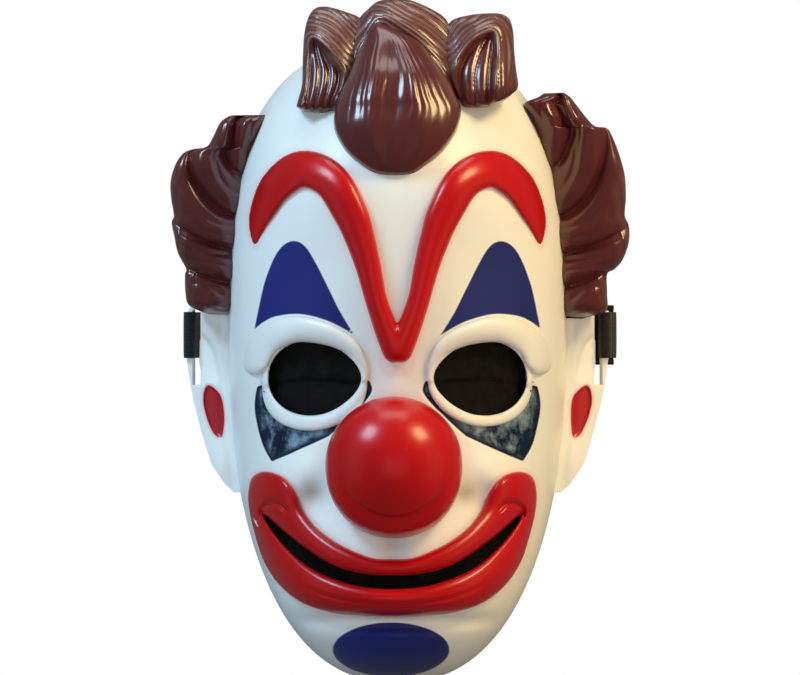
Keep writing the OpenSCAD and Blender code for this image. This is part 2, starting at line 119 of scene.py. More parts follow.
bpy.ops.object.select_all(action="DESELECT")
bpy.ops.mesh.primitive_plane_add(size=14, location=(0, 0.2, -0.5))
floor = bpy.context.object
floor.name = "floor"
floor.visible_diffuse = False
floor.visible_glossy = False
print("camera and", len(bpy.data.lights), "lights")

# %% [markdown]
# Materials are written as sums. `Value` wraps one socket, so that `1 - mask` or `dust * 0.4` adds the Math
# nodes by itself, and `Finish.add` makes every other node.


# %% Shader helpers
class Value:
    def __init__(self, finish, socket):
        self.finish = finish
        self.socket = socket

    def math(self, operation, a, b=0.0):
        return self.finish.add("ShaderNodeMath", {"operation": operation}, {0: a, 1: b})

    def __add__(self, other):
        return self.math("ADD", self, other)

    def __radd__(self, other):
        return self.math("ADD", other, self)

    def __sub__(self, other):
        return self.math("SUBTRACT", self, other)

    def __rsub__(self, other):
        return self.math("SUBTRACT", other, self)

    def __mul__(self, other):
        return self.math("MULTIPLY", self, other)

    def __rmul__(self, other):
        return self.math("MULTIPLY", other, self)


class Finish:
    def __init__(self, name, colour=(0.8, 0.8, 0.8), roughness=0.5, **fixed):
        self.material = bpy.data.materials.new(name)
        self.material.use_nodes = True
        self.nodes = self.material.node_tree.nodes
        self.shader = self.nodes["Principled BSDF"]
        self.set("Base Color", (*colour, 1))
        self.set("Roughness", roughness)
        for socket, value in fixed.items():
            self.set(socket.replace("_", " "), value)

    def link(self, value, socket):
        if isinstance(value, Value):
            self.material.node_tree.links.new(value.socket, socket)
        else:
            socket.default_value = value

    def set(self, name, value):
        self.link(value, self.shader.inputs[name])

    def add(self, kind, settings=None, values=None, out=0):
        node = self.nodes.new(kind)
        for key, value in (settings or {}).items():
            setattr(node, key, value)
        for key, value in (values or {}).items():
            self.link(value, node.inputs[key])
        return Value(self, node.outputs[out])

    def place(self):
        return self.add("ShaderNodeTexCoord", out="Object")

    def mapped(self, scale, turn=(0, 0, 0)):
        return self.add("ShaderNodeMapping", None, {"Vector": self.place(), "Rotation": turn, "Scale": scale})

    def noise(self, scale, detail=3, rough=0.5, vector=None):
        return self.add("ShaderNodeTexNoise", None, {
            "Vector": vector or self.place(), "Scale": scale, "Detail": detail, "Roughness": rough})

    def field(self, name):
        return self.add("ShaderNodeAttribute", {"attribute_name": name}, out="Fac")

    def step(self, value, low, high, to_low=0.0, to_high=1.0):
        return self.add("ShaderNodeMapRange", {"interpolation_type": "SMOOTHSTEP"}, {
            "Value": value, "From Min": low, "From Max": high, "To Min": to_low, "To Max": to_high})

    def mix(self, mask, a, b):
        a = a if isinstance(a, Value) else (*a, 1)
        b = b if isinstance(b, Value) else (*b, 1)
        return self.add("ShaderNodeMix", {"data_type": "RGBA"}, {0: mask, 6: a, 7: b}, out=2)

    def bump(self, height, distance, strength=1.0):
        self.set("Normal", self.add("ShaderNodeBump", None, {
            "Height": height, "Distance": distance, "Strength": strength}))


def wear(piece, finish):
    piece.data.materials.clear()
    piece.data.materials.append(finish.material)


floor_paint = Finish("floor_paint", (0.86, 0.86, 0.86), 0.7)
floor_paint.set("Base Color", floor_paint.mix(floor_paint.noise(3), (0.84, 0.84, 0.84), (0.88, 0.88, 0.88)))
floor_paint.set("Emission Color", (1, 1, 1, 1))
floor_paint.set("Emission Strength", 0.62)
wear(floor, floor_paint)

# %% [markdown]
# Every sculpted piece starts as one of Blender's primitives and has its points moved: a ball for anything
# closed and lofted, a ring for a rim, and a grid for a sheet. The three helpers hand the primitive's own
# angles, or its flat coordinates, to a function that answers with places in millimetres.


# %% Modelling helpers
def added(name):
    piece = bpy.context.object
    piece.name = name
    piece.data.name = name
    return piece


def points_of(piece):
    flat = np.empty(len(piece.data.vertices) * 3)
    piece.data.vertices.foreach_get("co", flat)
    return flat.reshape(-1, 3)


def set_points(piece, x, y, z):
    spots = np.stack(np.broadcast_arrays(x, y, z), axis=1) / 1000
    piece.data.vertices.foreach_set("co", spots.ravel())
    piece.data.update()
    bpy.ops.object.shade_smooth()
    return piece


def from_ball(name, around, along, place):
    bpy.ops.object.select_all(action="DESELECT")
    bpy.ops.mesh.primitive_uv_sphere_add(segments=around, ring_count=along, radius=1)
    piece = added(name)
    p = points_of(piece)
    down = np.round(np.arccos(np.clip(p[:, 2], -1, 1)) / math.pi * along) / along
    return set_points(piece, *place(np.arctan2(p[:, 1], p[:, 0]), down))


def from_ring(name, around, section, place):
    bpy.ops.object.select_all(action="DESELECT")
    bpy.ops.mesh.primitive_torus_add(
        major_radius=1, minor_radius=0.25, major_segments=around, minor_segments=section)
    piece = added(name)
    p = points_of(piece)
    out = np.hypot(p[:, 0], p[:, 1]) - 1
    return set_points(piece, *place(np.arctan2(p[:, 1], p[:, 0]), np.arctan2(p[:, 2], out)))


def from_grid(name, columns, rows, place):
    bpy.ops.object.select_all(action="DESELECT")
    bpy.ops.mesh.primitive_grid_add(x_subdivisions=columns, y_subdivisions=rows, size=2)
    piece = added(name)
    p = points_of(piece)
    return set_points(piece, *place(p[:, 0], p[:, 1]))


def use(piece):
    bpy.ops.object.select_all(action="DESELECT")
    piece.select_set(True)
    bpy.context.view_layer.objects.active = piece


def modify(piece, kind, **settings):
    use(piece)
    modifier = piece.modifiers.new(kind.title(), kind)
    for key, value in settings.items():
        setattr(modifier, key, value)
    bpy.ops.object.modifier_apply(modifier=modifier.name)


def clean(piece, gap=0.00002):
    use(piece)
    bpy.ops.object.mode_set(mode="EDIT")
    bpy.ops.mesh.select_all(action="SELECT")
    bpy.ops.mesh.remove_doubles(threshold=gap)
    bpy.ops.mesh.normals_make_consistent(inside=False)
    bpy.ops.object.mode_set(mode="OBJECT")


def join(name, pieces):
    use(pieces[0])
    for piece in pieces[1:]:
        piece.select_set(True)
    bpy.ops.object.join()
    return added(name)


def painted_outside(piece, paint, bare):
    # The solidified inner side takes the second material.
    wear(piece, paint)
    piece.data.materials.append(bare.material)


def keep(piece, body, slot, finish, *nodes):
    if body:
        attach(piece, body)
    if finish:
        wear(piece, finish)
    if nodes:
        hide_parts(*nodes)
    print(piece.name, len(piece.data.polygons), "faces")


# %% [markdown]
# The face shell is one curved surface, seen from the front as a rounded outline that narrows to the chin.
# Its size is that of the frame's own shell, and the formula gives the depth at any place on the face.
# On top of the plain surface there is soft modelling: eye sockets, cheeks, a muzzle and a chin.

# %% The face surface
LEVEL = 10.0
CROWN, CHIN, FACE_W, FACE_D = 116.0, 159.5, 148.0, 100.0
WALL = 2.2
MOUTH_X, NOSE_X = -2.2, -1.5


def smooth(t):
    t = np.clip(t, 0, 1)
    return t * t * (3 - 2 * t)


def hill(x, z, cx, cz, rx, rz):
    return np.exp(-(((x - cx) / rx) ** 2) - ((z - cz) / rz) ** 2)


def share(z, up, down):
    tall = np.where(z > LEVEL, CROWN, CHIN)
    power = np.where(z > LEVEL, up, down)
    return np.clip(1 - np.clip(np.abs(z - LEVEL) / tall, 0, 1) ** power, 0, 1) ** (1 / power)


def half_width(z):
    return FACE_W / 2 * share(z, 2.7, 2.36)


def plain_y(x, z):
    back = 2 - 50 * smooth((-30 - z) / (CHIN - LEVEL - 30))
    across = np.clip(np.abs(x) / np.maximum(half_width(z), 0.01), 0, 1)
    return back - FACE_D * share(z, 2.6, 2.0) * np.clip(1 - across**2.2, 0, 1) ** (1 / 2.2)


# %% [markdown]
# Painted areas and raised shapes are outlines seen from the front. `inside_by` says how far a point lies
# inside such an outline, in millimetres, and is negative outside it. The shell stores these distances as
# attributes, and the paint uses them for crisp or sprayed edges.


# %% Outlines
def curve(points, steps=8, closed=False):
    p = np.array(points, float)
    n = len(p)
    line = []
    for i in range(n if closed else n - 1):
        a, b, c, d = (p[(i + k) % n] if closed else p[min(max(i + k, 0), n - 1)] for k in (-1, 0, 1, 2))
        for t in np.arange(steps) / steps:
            line.append(0.5 * (2 * b + (c - a) * t + (2 * a - 5 * b + 4 * c - d) * t * t
                               + (3 * b - a - 3 * c + d) * t**3))
    if not closed:
        line.append(p[-1])
    return np.array(line)


def away_from(x, z, line, closed):
    a = line if closed else line[:-1]
    b = np.roll(line, -1, axis=0) if closed else line[1:]
    best = np.full(x.shape, 1e9)
    for p, q in zip(a, b):
        dx, dz = q[0] - p[0], q[1] - p[1]
        t = np.clip(((x - p[0]) * dx + (z - p[1]) * dz) / max(dx * dx + dz * dz, 1e-9), 0, 1)
        best = np.minimum(best, np.hypot(x - p[0] - t * dx, z - p[1] - t * dz))
    return best


def inside_by(x, z, outline):
    crossings = np.zeros(x.shape, bool)
    for p, q in zip(outline, np.roll(outline, -1, axis=0)):
        if p[1] != q[1]:
            crossings ^= ((p[1] > z) != (q[1] > z)) & (x < (q[0] - p[0]) * (z - p[1]) / (q[1] - p[1]) + p[0])
    return np.where(crossings, 1, -1) * away_from(x, z, outline, True)


def eye_edge(side, angle, grow=0.0):
    c = np.cos(angle)
    tall = 16 * (1 + 0.1 * c - 0.16 * np.maximum(0, -c) ** 2)
    return side * (35.5 + (20 + grow) * c), -18.5 + (tall + grow) * np.sin(angle)


SMILE_HALF = 56.0


def smile(u):
    return -105.8 + 29 * (np.abs(u) / SMILE_HALF) ** 2.4


def slit_half(u):
    return 3.3 * (1 + 0.28 * smooth((np.abs(u) - 22) / 18)) * np.sqrt(
        np.clip(1 - (np.abs(u) / SMILE_HALF) ** 6, 0, 1))


turns = np.linspace(0, 2 * math.pi, 60, endpoint=False)
eye_lines = {side: np.stack(eye_edge(side, turns), axis=1) for side in (-1, 1)}
run = np.linspace(-SMILE_HALF, SMILE_HALF, 61)
slit_line = np.concatenate([
    np.stack([run + MOUTH_X, smile(run) - slit_half(run)], axis=1),
    np.stack([run[::-1] + MOUTH_X, smile(run[::-1]) + slit_half(run[::-1])], axis=1)])
triangle_right = np.concatenate([
    curve([(61.8, 2.0), (59.6, 12), (57, 23), (53, 33), (49, 38.5), (44.2, 40.3), (39.6, 38), (35.2, 31.2),
           (29.5, 20), (24, 9), (17.3, -1.6)]),
    curve([(17.3, -1.6), (23, 2.6), (31, 6.4), (41.5, 8.9), (52, 8), (58, 5.2), (61.8, 2.0)])])
under_right = np.concatenate([
    curve([(12.0, -19.5), (10.8, -24), (14.5, -29.5), (22.6, -37.5), (29.5, -43.6)]),
    curve([(29.5, -43.6), (40, -48.4), (54, -54.6)]),
    curve([(54, -54.6), (58.2, -47), (61, -36), (61.6, -29), (60.4, -22)]),
    curve([(60.4, -22), (40, -18), (12.0, -19.5)])])
CHIN_SPOT = (-2.7, -135.0, 25.2, 11.9)
# From the middle of the upper lip round a corner to the middle of the lower one: the outer edge, the place
# on the slit that it belongs to, and the height of the lip there.
LIP_HALF = [
    (0, -95.9, 0, 4.8), (7, -95.7, 7, 4.8), (14, -93.6, 15, 5.0), (24, -88.8, 26, 5.6), (33, -82, 37, 6.2),
    (38.8, -74, 46, 6.6), (41.6, -67.4, 51, 7.0), (47.2, -60.9, 54, 7.4), (54.6, -58.7, 55.6, 7.6),
    (60.2, -61, 56, 7.2), (62, -67, 56, 6.6), (61.8, -74.5, 56, 6.0), (59.6, -84.5, 55, 5.8),
    (55.4, -97.2, 49, 6.4), (48.6, -107.3, 42, 7.0), (38.5, -115, 33, 7.4), (24.8, -119.2, 22, 7.4),
    (9, -120.5, 8, 7.4), (0, -120.7, 0, 7.4)]
lip_outline = curve(
    [(x + MOUTH_X, z) for x, z, u, h in LIP_HALF]
    + [(-x + MOUTH_X, z) for x, z, u, h in LIP_HALF[-2:0:-1]], 4, True)
print("outlines ready")

# %% [markdown]
# The brow, lips and lids are ridges: a middle line with a half width and a height at each point. One table
# serves three jobs, because it makes the ridge, its halo of overspray, and the shell's paint distances.

# %% Ridge tables
BROW = [(61.4, 38.5, 0.6, 0.8), (60.7, 45, 3.2, 3), (58.3, 53, 5.4, 4.6), (52, 64.2, 7.2, 5.6),
    (41.3, 71.2, 8, 6.2),
        (29, 66.5, 8, 6.2), (20.2, 52, 7.4, 6), (16.0, 41, 6.4, 5.8), (12.5, 29.2, 5.5, 5.4),
        (9.4, 16, 4.8, 5.2),
        (5.4, 4, 5.1, 5.2), (2.4, -3, 5.6, 5.4), (-1.2, -11.6, 5.8, 5.2)]
UPPER_LID = [(13.4, -17.8, 0.8, 1.4), (15.2, -11.5, 2.0, 2.6), (20, -5, 3.5, 3.6), (30.3, 0.3, 4.7, 4.2),
             (44.3, 2.4, 5.8, 4.8), (56.2, -2.6, 6.5, 5.4), (60.6, -11, 5.9, 5.8), (60.9, -17.2, 4.6, 5.2)]


brow_lines = [curve(BROW), curve([(-x, z, w, h) for x, z, w, h in BROW])]


def beyond(x, z, lines):
    best = np.full(x.shape, 1e9)
    for line in lines:
        for p in line[::2]:
            best = np.minimum(best, np.hypot(x - p[0], z - p[1]) - p[2])
    return best


# %% Soft modelling of the shell
def relief(x, z):
    ax = np.abs(x)
    chin = 1 - np.hypot((x - CHIN_SPOT[0]) / CHIN_SPOT[2], (z - CHIN_SPOT[1]) / CHIN_SPOT[3])
    shape = (
        -4.5 * hill(ax, z, 37, -17, 25, 20)
        + 3.0 * hill(ax, z, 40, 62, 26, 16)
        + 2.0 * hill(x, z, 0, 75, 38, 26)
        - 2.5 * hill(ax, z, 41, 24, 14, 16)
        + 4.5 * hill(ax, z, 45, -60, 15, 10)
        + 4.5 * hill(x, z, MOUTH_X, -101, 46, 24)
        - 3.6 * hill(ax, z, 35.5, -69, 7, 9)
        - 2.0 * hill(x, z, NOSE_X, -91, 5, 6)
        - 6.5 * hill(x, z, MOUTH_X, -122.5, 36, 3.6)
        + 3.5 * hill(x, z, MOUTH_X, -137, 27, 13)
        - 2.0 * hill(ax, z, 64, 30, 8, 34)
        - 2.0 * hill(ax, z, 62, -62, 6, 20)
        + 3.4 * np.sqrt(np.clip(chin, 0, 1)) * smooth(chin * 10)
        - 1.6 * smooth(inside_by(ax, z, under_right) / 1.6))
    across = np.clip(ax / np.maximum(half_width(z), 0.01), 0, 1)
    return shape * (1 - across**8)


def face_y(x, z):
    return plain_y(x, z) - relief(x, z)


# %% The shell's mesh
COLUMNS, ROWS = 188, 236


def row_heights(count):
    angle = np.linspace(-math.pi / 2, math.pi / 2, 4001)
    tall = np.where(angle > 0, CROWN, CHIN)
    z = LEVEL + np.sign(angle) * tall * np.abs(np.sin(angle)) ** (2 / 2.5)
    w = half_width(z)
    length = np.concatenate([[0], np.cumsum(np.hypot(np.diff(z), 0.4 * np.diff(w)))])
    return np.interp(np.linspace(0, length[-1], count + 1), length, z)


heights = row_heights(ROWS)


def shell_place(u, v):
    z = np.interp((v + 1) / 2 * ROWS, np.arange(ROWS + 1), heights)
    angle = u * math.pi / 2
    x = np.sign(angle) * np.abs(np.sin(angle)) ** (2 / 2.2) * half_width(z)
    return x, face_y(x, z), z


face = from_grid("face_skin", COLUMNS, ROWS, shell_place)
p = points_of(face) * 1000
x, z = p[:, 0], p[:, 2]
# The lids, lips and nose hide the wall's edge, so the wall stops this far outside each opening.
EYE_MARGIN, SLIT_MARGIN = 1.6, 2.3
WELL_RADIUS, WELL_Z = 17.5, -55.5
hole_lines = [np.stack(eye_edge(side, turns, EYE_MARGIN), axis=1) for side in (-1, 1)]


def hole_depth(px, pz):
    return np.maximum.reduce([
        inside_by(px, pz, hole_lines[0]), inside_by(px, pz, hole_lines[1]),
        inside_by(px, pz, slit_line) + SLIT_MARGIN, WELL_RADIUS - np.hypot(px - NOSE_X, pz - WELL_Z)])


holes = hole_depth(x, z)
paint_fields = {
    "blue": inside_by(np.abs(x), z, triangle_right),
    "dark": inside_by(np.abs(x), z, under_right),
    "chin": (1 - np.hypot((x - CHIN_SPOT[0]) / CHIN_SPOT[2], (z - CHIN_SPOT[1]) / CHIN_SPOT[3])) * 14,
    "red": np.minimum(beyond(x, z, brow_lines), -inside_by(x, z, lip_outline)),
    # Painted shade: where dark brown is laid into the hollows beside and under the nose.
    "nose_hollow_shade": hill(np.abs(x + 3.6), z, 33, -67.5, 5.5, 5) + 0.7 * hill(x, z, -1.8, -89.5, 6, 3.5),
    "nose": np.hypot(x - NOSE_X, z + 56.5) - 29.0,
    "lid": np.minimum(away_from(x, z, eye_lines[-1], True), away_from(x, z, eye_lines[1], True)),
}
for name, values in paint_fields.items():
    layer = face.data.attributes.new(name, "FLOAT", "POINT")
    layer.data.foreach_set("value", values.astype(np.float32))

# %% Cut the openings
near_rim = np.abs(holes) < 0.75
nx, nz = x[near_rim], z[near_rim]
for _ in range(3):
    depth = hole_depth(nx, nz)
    gx = (hole_depth(nx + 0.05, nz) - depth) / 0.05
    gz = (hole_depth(nx, nz + 0.05) - depth) / 0.05
    size = np.maximum(gx * gx + gz * gz, 0.2)
    nx, nz = nx - depth * gx / size, nz - depth * gz / size
x[near_rim], z[near_rim] = nx, nz
holes[near_rim] = 0
set_points(face, x, face_y(x, z), z)
doomed = holes > 0.01
use(face)
for polygon in face.data.polygons:
    polygon.select = False
for edge in face.data.edges:
    edge.select = False
for vertex, inside in zip(face.data.vertices, doomed):
    vertex.select = bool(inside)
bpy.ops.object.mode_set(mode="EDIT")
bpy.ops.mesh.select_mode(type="VERT")
bpy.ops.mesh.delete(type="VERT")
bpy.ops.mesh.select_all(action="SELECT")
bpy.ops.mesh.remove_doubles(threshold=0.00002)
bpy.ops.object.mode_set(mode="OBJECT")
print("shell front", len(face.data.polygons))

# %% [markdown]
# The shell is white satin paint on latex. The dark patches below the eyes are glossy and clouded, the
# triangles and the chin spot are flat blue, and red drifts a little past the raised edges, as it does when
# it is sprayed. A dark brown painted shade lies in the hollows beside and under the nose.


# %% White paint
def grimy_white(finish):
    cloud = finish.noise(9, 4)
    return finish.mix(cloud, (0.80, 0.80, 0.76), (0.90, 0.90, 0.87))


skin_paint = Finish(
    "painted_latex_white", roughness=0.34, Coat_Roughness=0.25, Coat_Weight=0.15, Specular_IOR_Level=0.3)
wobble = (skin_paint.noise(70, 2) - 0.5) * 1.0
spray = skin_paint.noise(420, 2)
base = grimy_white(skin_paint)
# Painted shade: dark brown in the hollows beside and under the nose.
base = skin_paint.mix(skin_paint.field("nose_hollow_shade") * 0.62, base, (0.22, 0.15, 0.10))
red_gap = skin_paint.field("red") + wobble * 0.8
halo = skin_paint.step(red_gap, 2.6, -0.4) * skin_paint.step(spray, 0.2, 0.7, 0.6, 0.9)
base = skin_paint.mix(halo * 0.22, base, (0.80, 0.16, 0.12))
blue_edge = skin_paint.field("blue") + wobble * 0.4
blue_mask = skin_paint.step(blue_edge, -0.25, 0.35)
blue_cloud = skin_paint.noise(26, 3)
blue = skin_paint.mix(blue_cloud, (0.008, 0.014, 0.115), (0.016, 0.026, 0.20))
base = skin_paint.mix(blue_mask, base, blue)
chin_mask = skin_paint.step(skin_paint.field("chin") + wobble * 0.4, -0.2, 0.4)
base = skin_paint.mix(chin_mask, base, blue)
dark_mask = skin_paint.step(skin_paint.field("dark") + wobble * 0.4, -0.2, 0.4)
smoke = skin_paint.step(skin_paint.noise(75, 6, 0.65), 0.42, 0.66)
deep = skin_paint.step(skin_paint.field("dark"), 0.5, 3.5)
dark = skin_paint.mix(smoke * deep, (0.0018, 0.011, 0.034), (0.26, 0.36, 0.44))
base = skin_paint.mix(dark_mask, base, dark)
skin_paint.set("Base Color", base)
skin_paint.set("Roughness", 0.36 + dark_mask * -0.14 + blue_mask * 0.10)
skin_paint.bump(skin_paint.noise(160, 3), 0.0002, 0.35)

bare_latex = Finish("bare_latex_inside", roughness=0.55, Specular_IOR_Level=0.3)
bare_latex.set("Base Color", bare_latex.mix(bare_latex.noise(30, 5), (0.62, 0.54, 0.40), (0.76, 0.70, 0.56)))
bare_latex.bump(bare_latex.noise(110, 4), 0.0006, 0.5)
painted_outside(face, skin_paint, bare_latex)
modify(face, "SOLIDIFY", thickness=WALL / 1000, offset=-1, use_even_offset=False, material_offset=1)
keep(face, "mask", "white_latex", None, "face_shell")


# %% [markdown]
# A ridge is a ball stretched along its middle line. Its ends are rounded because the ball's poles are
# there, its top swells out of the shell, and its foot stays inside the wall.


# %% Ridge maker
def along_line(table, count):
    line = curve(table, 24)
    step = np.hypot(np.diff(line[:, 0]), np.diff(line[:, 1]))
    length = np.concatenate([[0], np.cumsum(step)])
    at = np.linspace(0, length[-1], count + 1)
    return np.stack([np.interp(at, length, line[:, k]) for k in range(4)], axis=1), length[-1]


def ridge(name, table, around, along, foot=1.6, sharp=0.8):
    line, length = along_line(table, along)
    t = np.linspace(0, length, along + 1)
    start, end = table[0][2], table[-1][2]
    tip = np.sqrt(np.clip(1 - (1 - np.clip(t / max(start, 0.1), 0, 1)) ** 2, 0, 1))
    tip = tip * np.sqrt(np.clip(1 - (1 - np.clip((length - t) / max(end, 0.1), 0, 1)) ** 2, 0, 1))
    dx = np.gradient(line[:, 0])
    dz = np.gradient(line[:, 1])
    size = np.hypot(dx, dz)

    def place(turn, down):
        i = np.round(down * along).astype(int)
        c = line[i]
        s = np.cos(turn)
        reach = s * c[:, 2] * tip[i]
        px = c[:, 0] - reach * dz[i] / size[i]
        pz = c[:, 1] + reach * dx[i] / size[i]
        up = np.abs(np.sin(turn)) ** sharp
        lift = np.where(np.sin(turn) < 0, -c[:, 3] * up * tip[i] ** 0.7, foot * up)
        return px, face_y(px, pz) + lift, pz

    return from_ball(name, around, along, place)


def flipped(table):
    return [(-x, z, w, h) for x, z, w, h in reversed(table)]


brow = join("brow", [
    ridge("brow_right_half", BROW, 40, 150), ridge("brow_left_half", flipped(BROW), 40, 150)])
modify(brow, "REMESH", mode="VOXEL", voxel_size=0.0007, use_smooth_shade=True)
modify(brow, "SMOOTH", factor=0.5, iterations=4)

# %% [markdown]
# The lips are one ring round the slit. Its section runs from the slit's edge to the outer edge, and a small
# hooked fold is pressed into each corner of the smile.

# %% Lips
def lip_stations(count):
    half = curve(LIP_HALF, 16)
    upper = np.arange(len(half)) < 16 * 9.5
    edge = np.where(upper, 1, -1)
    left = half[::-1] * np.array([-1, 1, -1, 1])
    line = np.concatenate([half, left[1:-1]])
    side = np.concatenate([edge, edge[::-1][1:-1]])
    at = np.arange(count) / count * len(line)
    wrap = np.concatenate([line, line[:1]])
    return np.stack([np.interp(at, np.arange(len(wrap)), wrap[:, k]) for k in range(4)], axis=1), \
        np.interp(at, np.arange(len(wrap)), np.concatenate([side, side[:1]]))


LIP_STATIONS = 400
stations, which_edge = lip_stations(LIP_STATIONS)
fold = curve([(56.4, -78), (55.8, -74.6), (52.8, -72.2), (48.8, -72.6), (45.8, -75.2)], 6)


def lips_place(turn, section):
    i = np.round(turn / (2 * math.pi) * LIP_STATIONS).astype(int) % LIP_STATIONS
    ox, oz, u, h = stations[i].T
    u = np.clip(u, -SMILE_HALF, SMILE_HALF)
    iz = smile(u) + which_edge[i] * np.maximum(slit_half(u) - 0.5, 0.15)
    part = (1 + np.cos(section)) / 2
    x = (u + (ox - u) * part) + MOUTH_X
    z = iz + (oz - iz) * part
    up = np.abs(np.sin(section)) ** 0.8
    front = np.sin(section) < 0
    gap = away_from(np.abs(x - MOUTH_X), z, fold, False)
    crease = 3.2 * np.exp(-((gap / 1.0) ** 2)) * up
    seam = 0.7 * np.exp(-(((part - 0.55) / 0.06) ** 2)) * smooth((-iz - 96) / 8) * (which_edge[i] < 0)
    lift = np.where(front, -(h * up - crease - seam * up), 1.4 * up)
    return x, face_y(x, z) + lift, z


lips = from_ring("lips", LIP_STATIONS, 72, lips_place)
clean(lips)

# %% Red paint
red_paint = Finish(
    "painted_latex_red", roughness=0.30, Coat_Weight=0.2, Coat_Roughness=0.18, Specular_IOR_Level=0.32)
depth_of_red = red_paint.noise(18, 3)
red_colour = red_paint.mix(depth_of_red, (0.42, 0.0015, 0.004), (0.56, 0.003, 0.005))
red_paint.set("Base Color", red_colour)
red_paint.bump(red_paint.noise(150, 3), 0.0002, 0.3)
keep(brow, "mask", "red_latex", red_paint, "brow_ridge")
keep(lips, "mask", "red_latex", red_paint, "upper_lip", "lower_lip")

# %% [markdown]
# The nose is a hollow ball. Low on its front a crease sets off a rolled rim, and its back is open to the
# wearer's own nose.

# %% Nose
NOSE_R = 29.4
nose_y = float(plain_y(np.array([0.0]), np.array([-55.5]))[0]) - 11


def nose_place(turn, down):
    # The ball's pole looks forward, so down is the angle away from the front.
    angle = down * math.pi
    lower = smooth((-np.sin(turn) - 0.05) / 0.8)
    crease = -1.5 * np.exp(-(((np.degrees(angle) - 52) / 5.5) ** 2)) * lower
    rim = 1.1 * smooth((np.degrees(angle) - 54) / 12) * lower
    r = NOSE_R + crease + rim
    return (NOSE_X + r * np.sin(angle) * np.cos(turn), nose_y - r * np.cos(angle),
            -55.7 + r * np.sin(angle) * np.sin(turn) - 0.8 * lower * np.sin(angle))


nose = from_ball("nose_ball", 128, 96, nose_place)
p = points_of(nose) * 1000
behind = p[:, 1] - face_y(p[:, 0], p[:, 2])
use(nose)
for item in (*nose.data.polygons, *nose.data.edges):
    item.select = False
for vertex, far in zip(nose.data.vertices, behind > 1.8):
    vertex.select = bool(far)
bpy.ops.object.mode_set(mode="EDIT")
bpy.ops.mesh.select_mode(type="VERT")
bpy.ops.mesh.delete(type="VERT")
bpy.ops.object.mode_set(mode="OBJECT")
painted_outside(nose, red_paint, bare_latex)
modify(nose, "SOLIDIFY", thickness=0.0018, offset=-1, material_offset=1)
keep(nose, "mask", "red_latex", None, "nose")

# %% [markdown]
# Each eye has a heavy upper lid that ends in a rounded lobe outside the eye, and a thinner rim below it
# that runs all the way round. The rim also lines the opening's edge.


# %% Eyelids
def rim_half(angle, side):
    low = smooth(-np.sin(angle) * 1.1)
    return 1.3 + low * (2.0 if side < 0 else 1.1)


def eye_rim(side):
    def place(turn, section):
        angle = turn if side > 0 else math.pi - turn
        h = rim_half(angle, side)
        s = np.cos(section)
        px, pz = eye_edge(side, angle, h * (1 + s))
        up = np.abs(np.sin(section)) ** 0.8
        lift = np.where(np.sin(section) < 0, -(1.2 + 0.5 * h) * up, 2.1 * up)
        return px, face_y(px, pz) + lift, pz
    return from_ring("rim_right" if side > 0 else "rim_left", 120, 24, place)


lids = {}
for side, word in ((1, "right"), (-1, "left")):
    table = UPPER_LID if side > 0 else flipped(UPPER_LID)
    lids[word] = join("eyelid_skin_" + word, [
        ridge("lid_" + word, table, 40, 110, foot=1.8, sharp=0.85), eye_rim(side)])
    clean(lids[word])

lid_paint = Finish("painted_latex_lid", roughness=0.36, Coat_Weight=0.2, Coat_Roughness=0.25)
lid_paint.set("Base Color", grimy_white(lid_paint))
lid_paint.bump(lid_paint.noise(160, 3), 0.0002, 0.35)
for word, lid in lids.items():
    keep(lid, "mask", "white_latex", lid_paint, "eyelid_" + word)

# %% [markdown]
# Behind the openings the mask has black knitted mesh, glued to the inside. The knit is too fine to model
# thread by thread, so the panel is a thin closed sheet and a bump gives it rows of short stitches. Panels
# and glue follow the inside of the wall at a set depth square to it, which keeps
# them clear of it where it turns away at the sides.


# %% Mesh panels
def inner_y(x, z, deep):
    # The surface this far inside the skin. It steps back where the face is pressed in.
    tall = np.where(z > LEVEL, CROWN, CHIN) - deep
    power = np.where(z > LEVEL, 2.6, 2.0)
    side_power = np.where(z > LEVEL, 2.7, 2.36)
    level = np.clip(np.abs(z - LEVEL) / tall, 0, 1)
    wide = (FACE_W / 2 - deep) * np.clip(1 - level**side_power, 0, 1) ** (1 / side_power)
    far = (FACE_D - deep) * np.clip(1 - level**power, 0, 1) ** (1 / power)
    across = np.clip(np.abs(x) / np.maximum(wide, 0.01), 0, 1)
    back = 2 - 50 * smooth((-30 - z) / (CHIN - LEVEL - 30))
    return back - far * np.clip(1 - across**2.2, 0, 1) ** (1 / 2.2) + np.maximum(
        0, face_y(x, z) - plain_y(x, z))


def panel(name, columns, rows, place, node):
    piece = from_grid(name, columns, rows, place)
    sheet = points_of(piece).reshape(rows + 1, columns + 1, 3)
    modify(piece, "SOLIDIFY", thickness=0.0007, offset=0)
    clean(piece)
    keep(piece, "mask", "black_mesh", mesh_cloth, node)


def eye_panel(side):
    def place(u, v):
        # A square's points are pushed into a disc, so that no pole is needed.
        a = u * np.sqrt(1 - v * v / 2)
        b = v * np.sqrt(1 - u * u / 2)
        r = np.hypot(a, b)
        angle = np.arctan2(b, a * side)
        ex, ez = eye_edge(side, angle, 4.6)
        px = side * 35.5 + (ex - side * 35.5) * r
        pz = -18.5 + (ez + 18.5) * r
        return px, inner_y(px, pz, WALL + 0.9), pz
    panel("mesh_eye_right" if side > 0 else "mesh_eye_left", 50, 50, place,
          "eye_mesh_right" if side > 0 else "eye_mesh_left")


def mouth_place(u, v):
    run = u * (SMILE_HALF + 2)
    px = run + MOUTH_X
    pz = smile(run) + v * 8.6
    return px, inner_y(px, pz, WALL + 0.9), pz


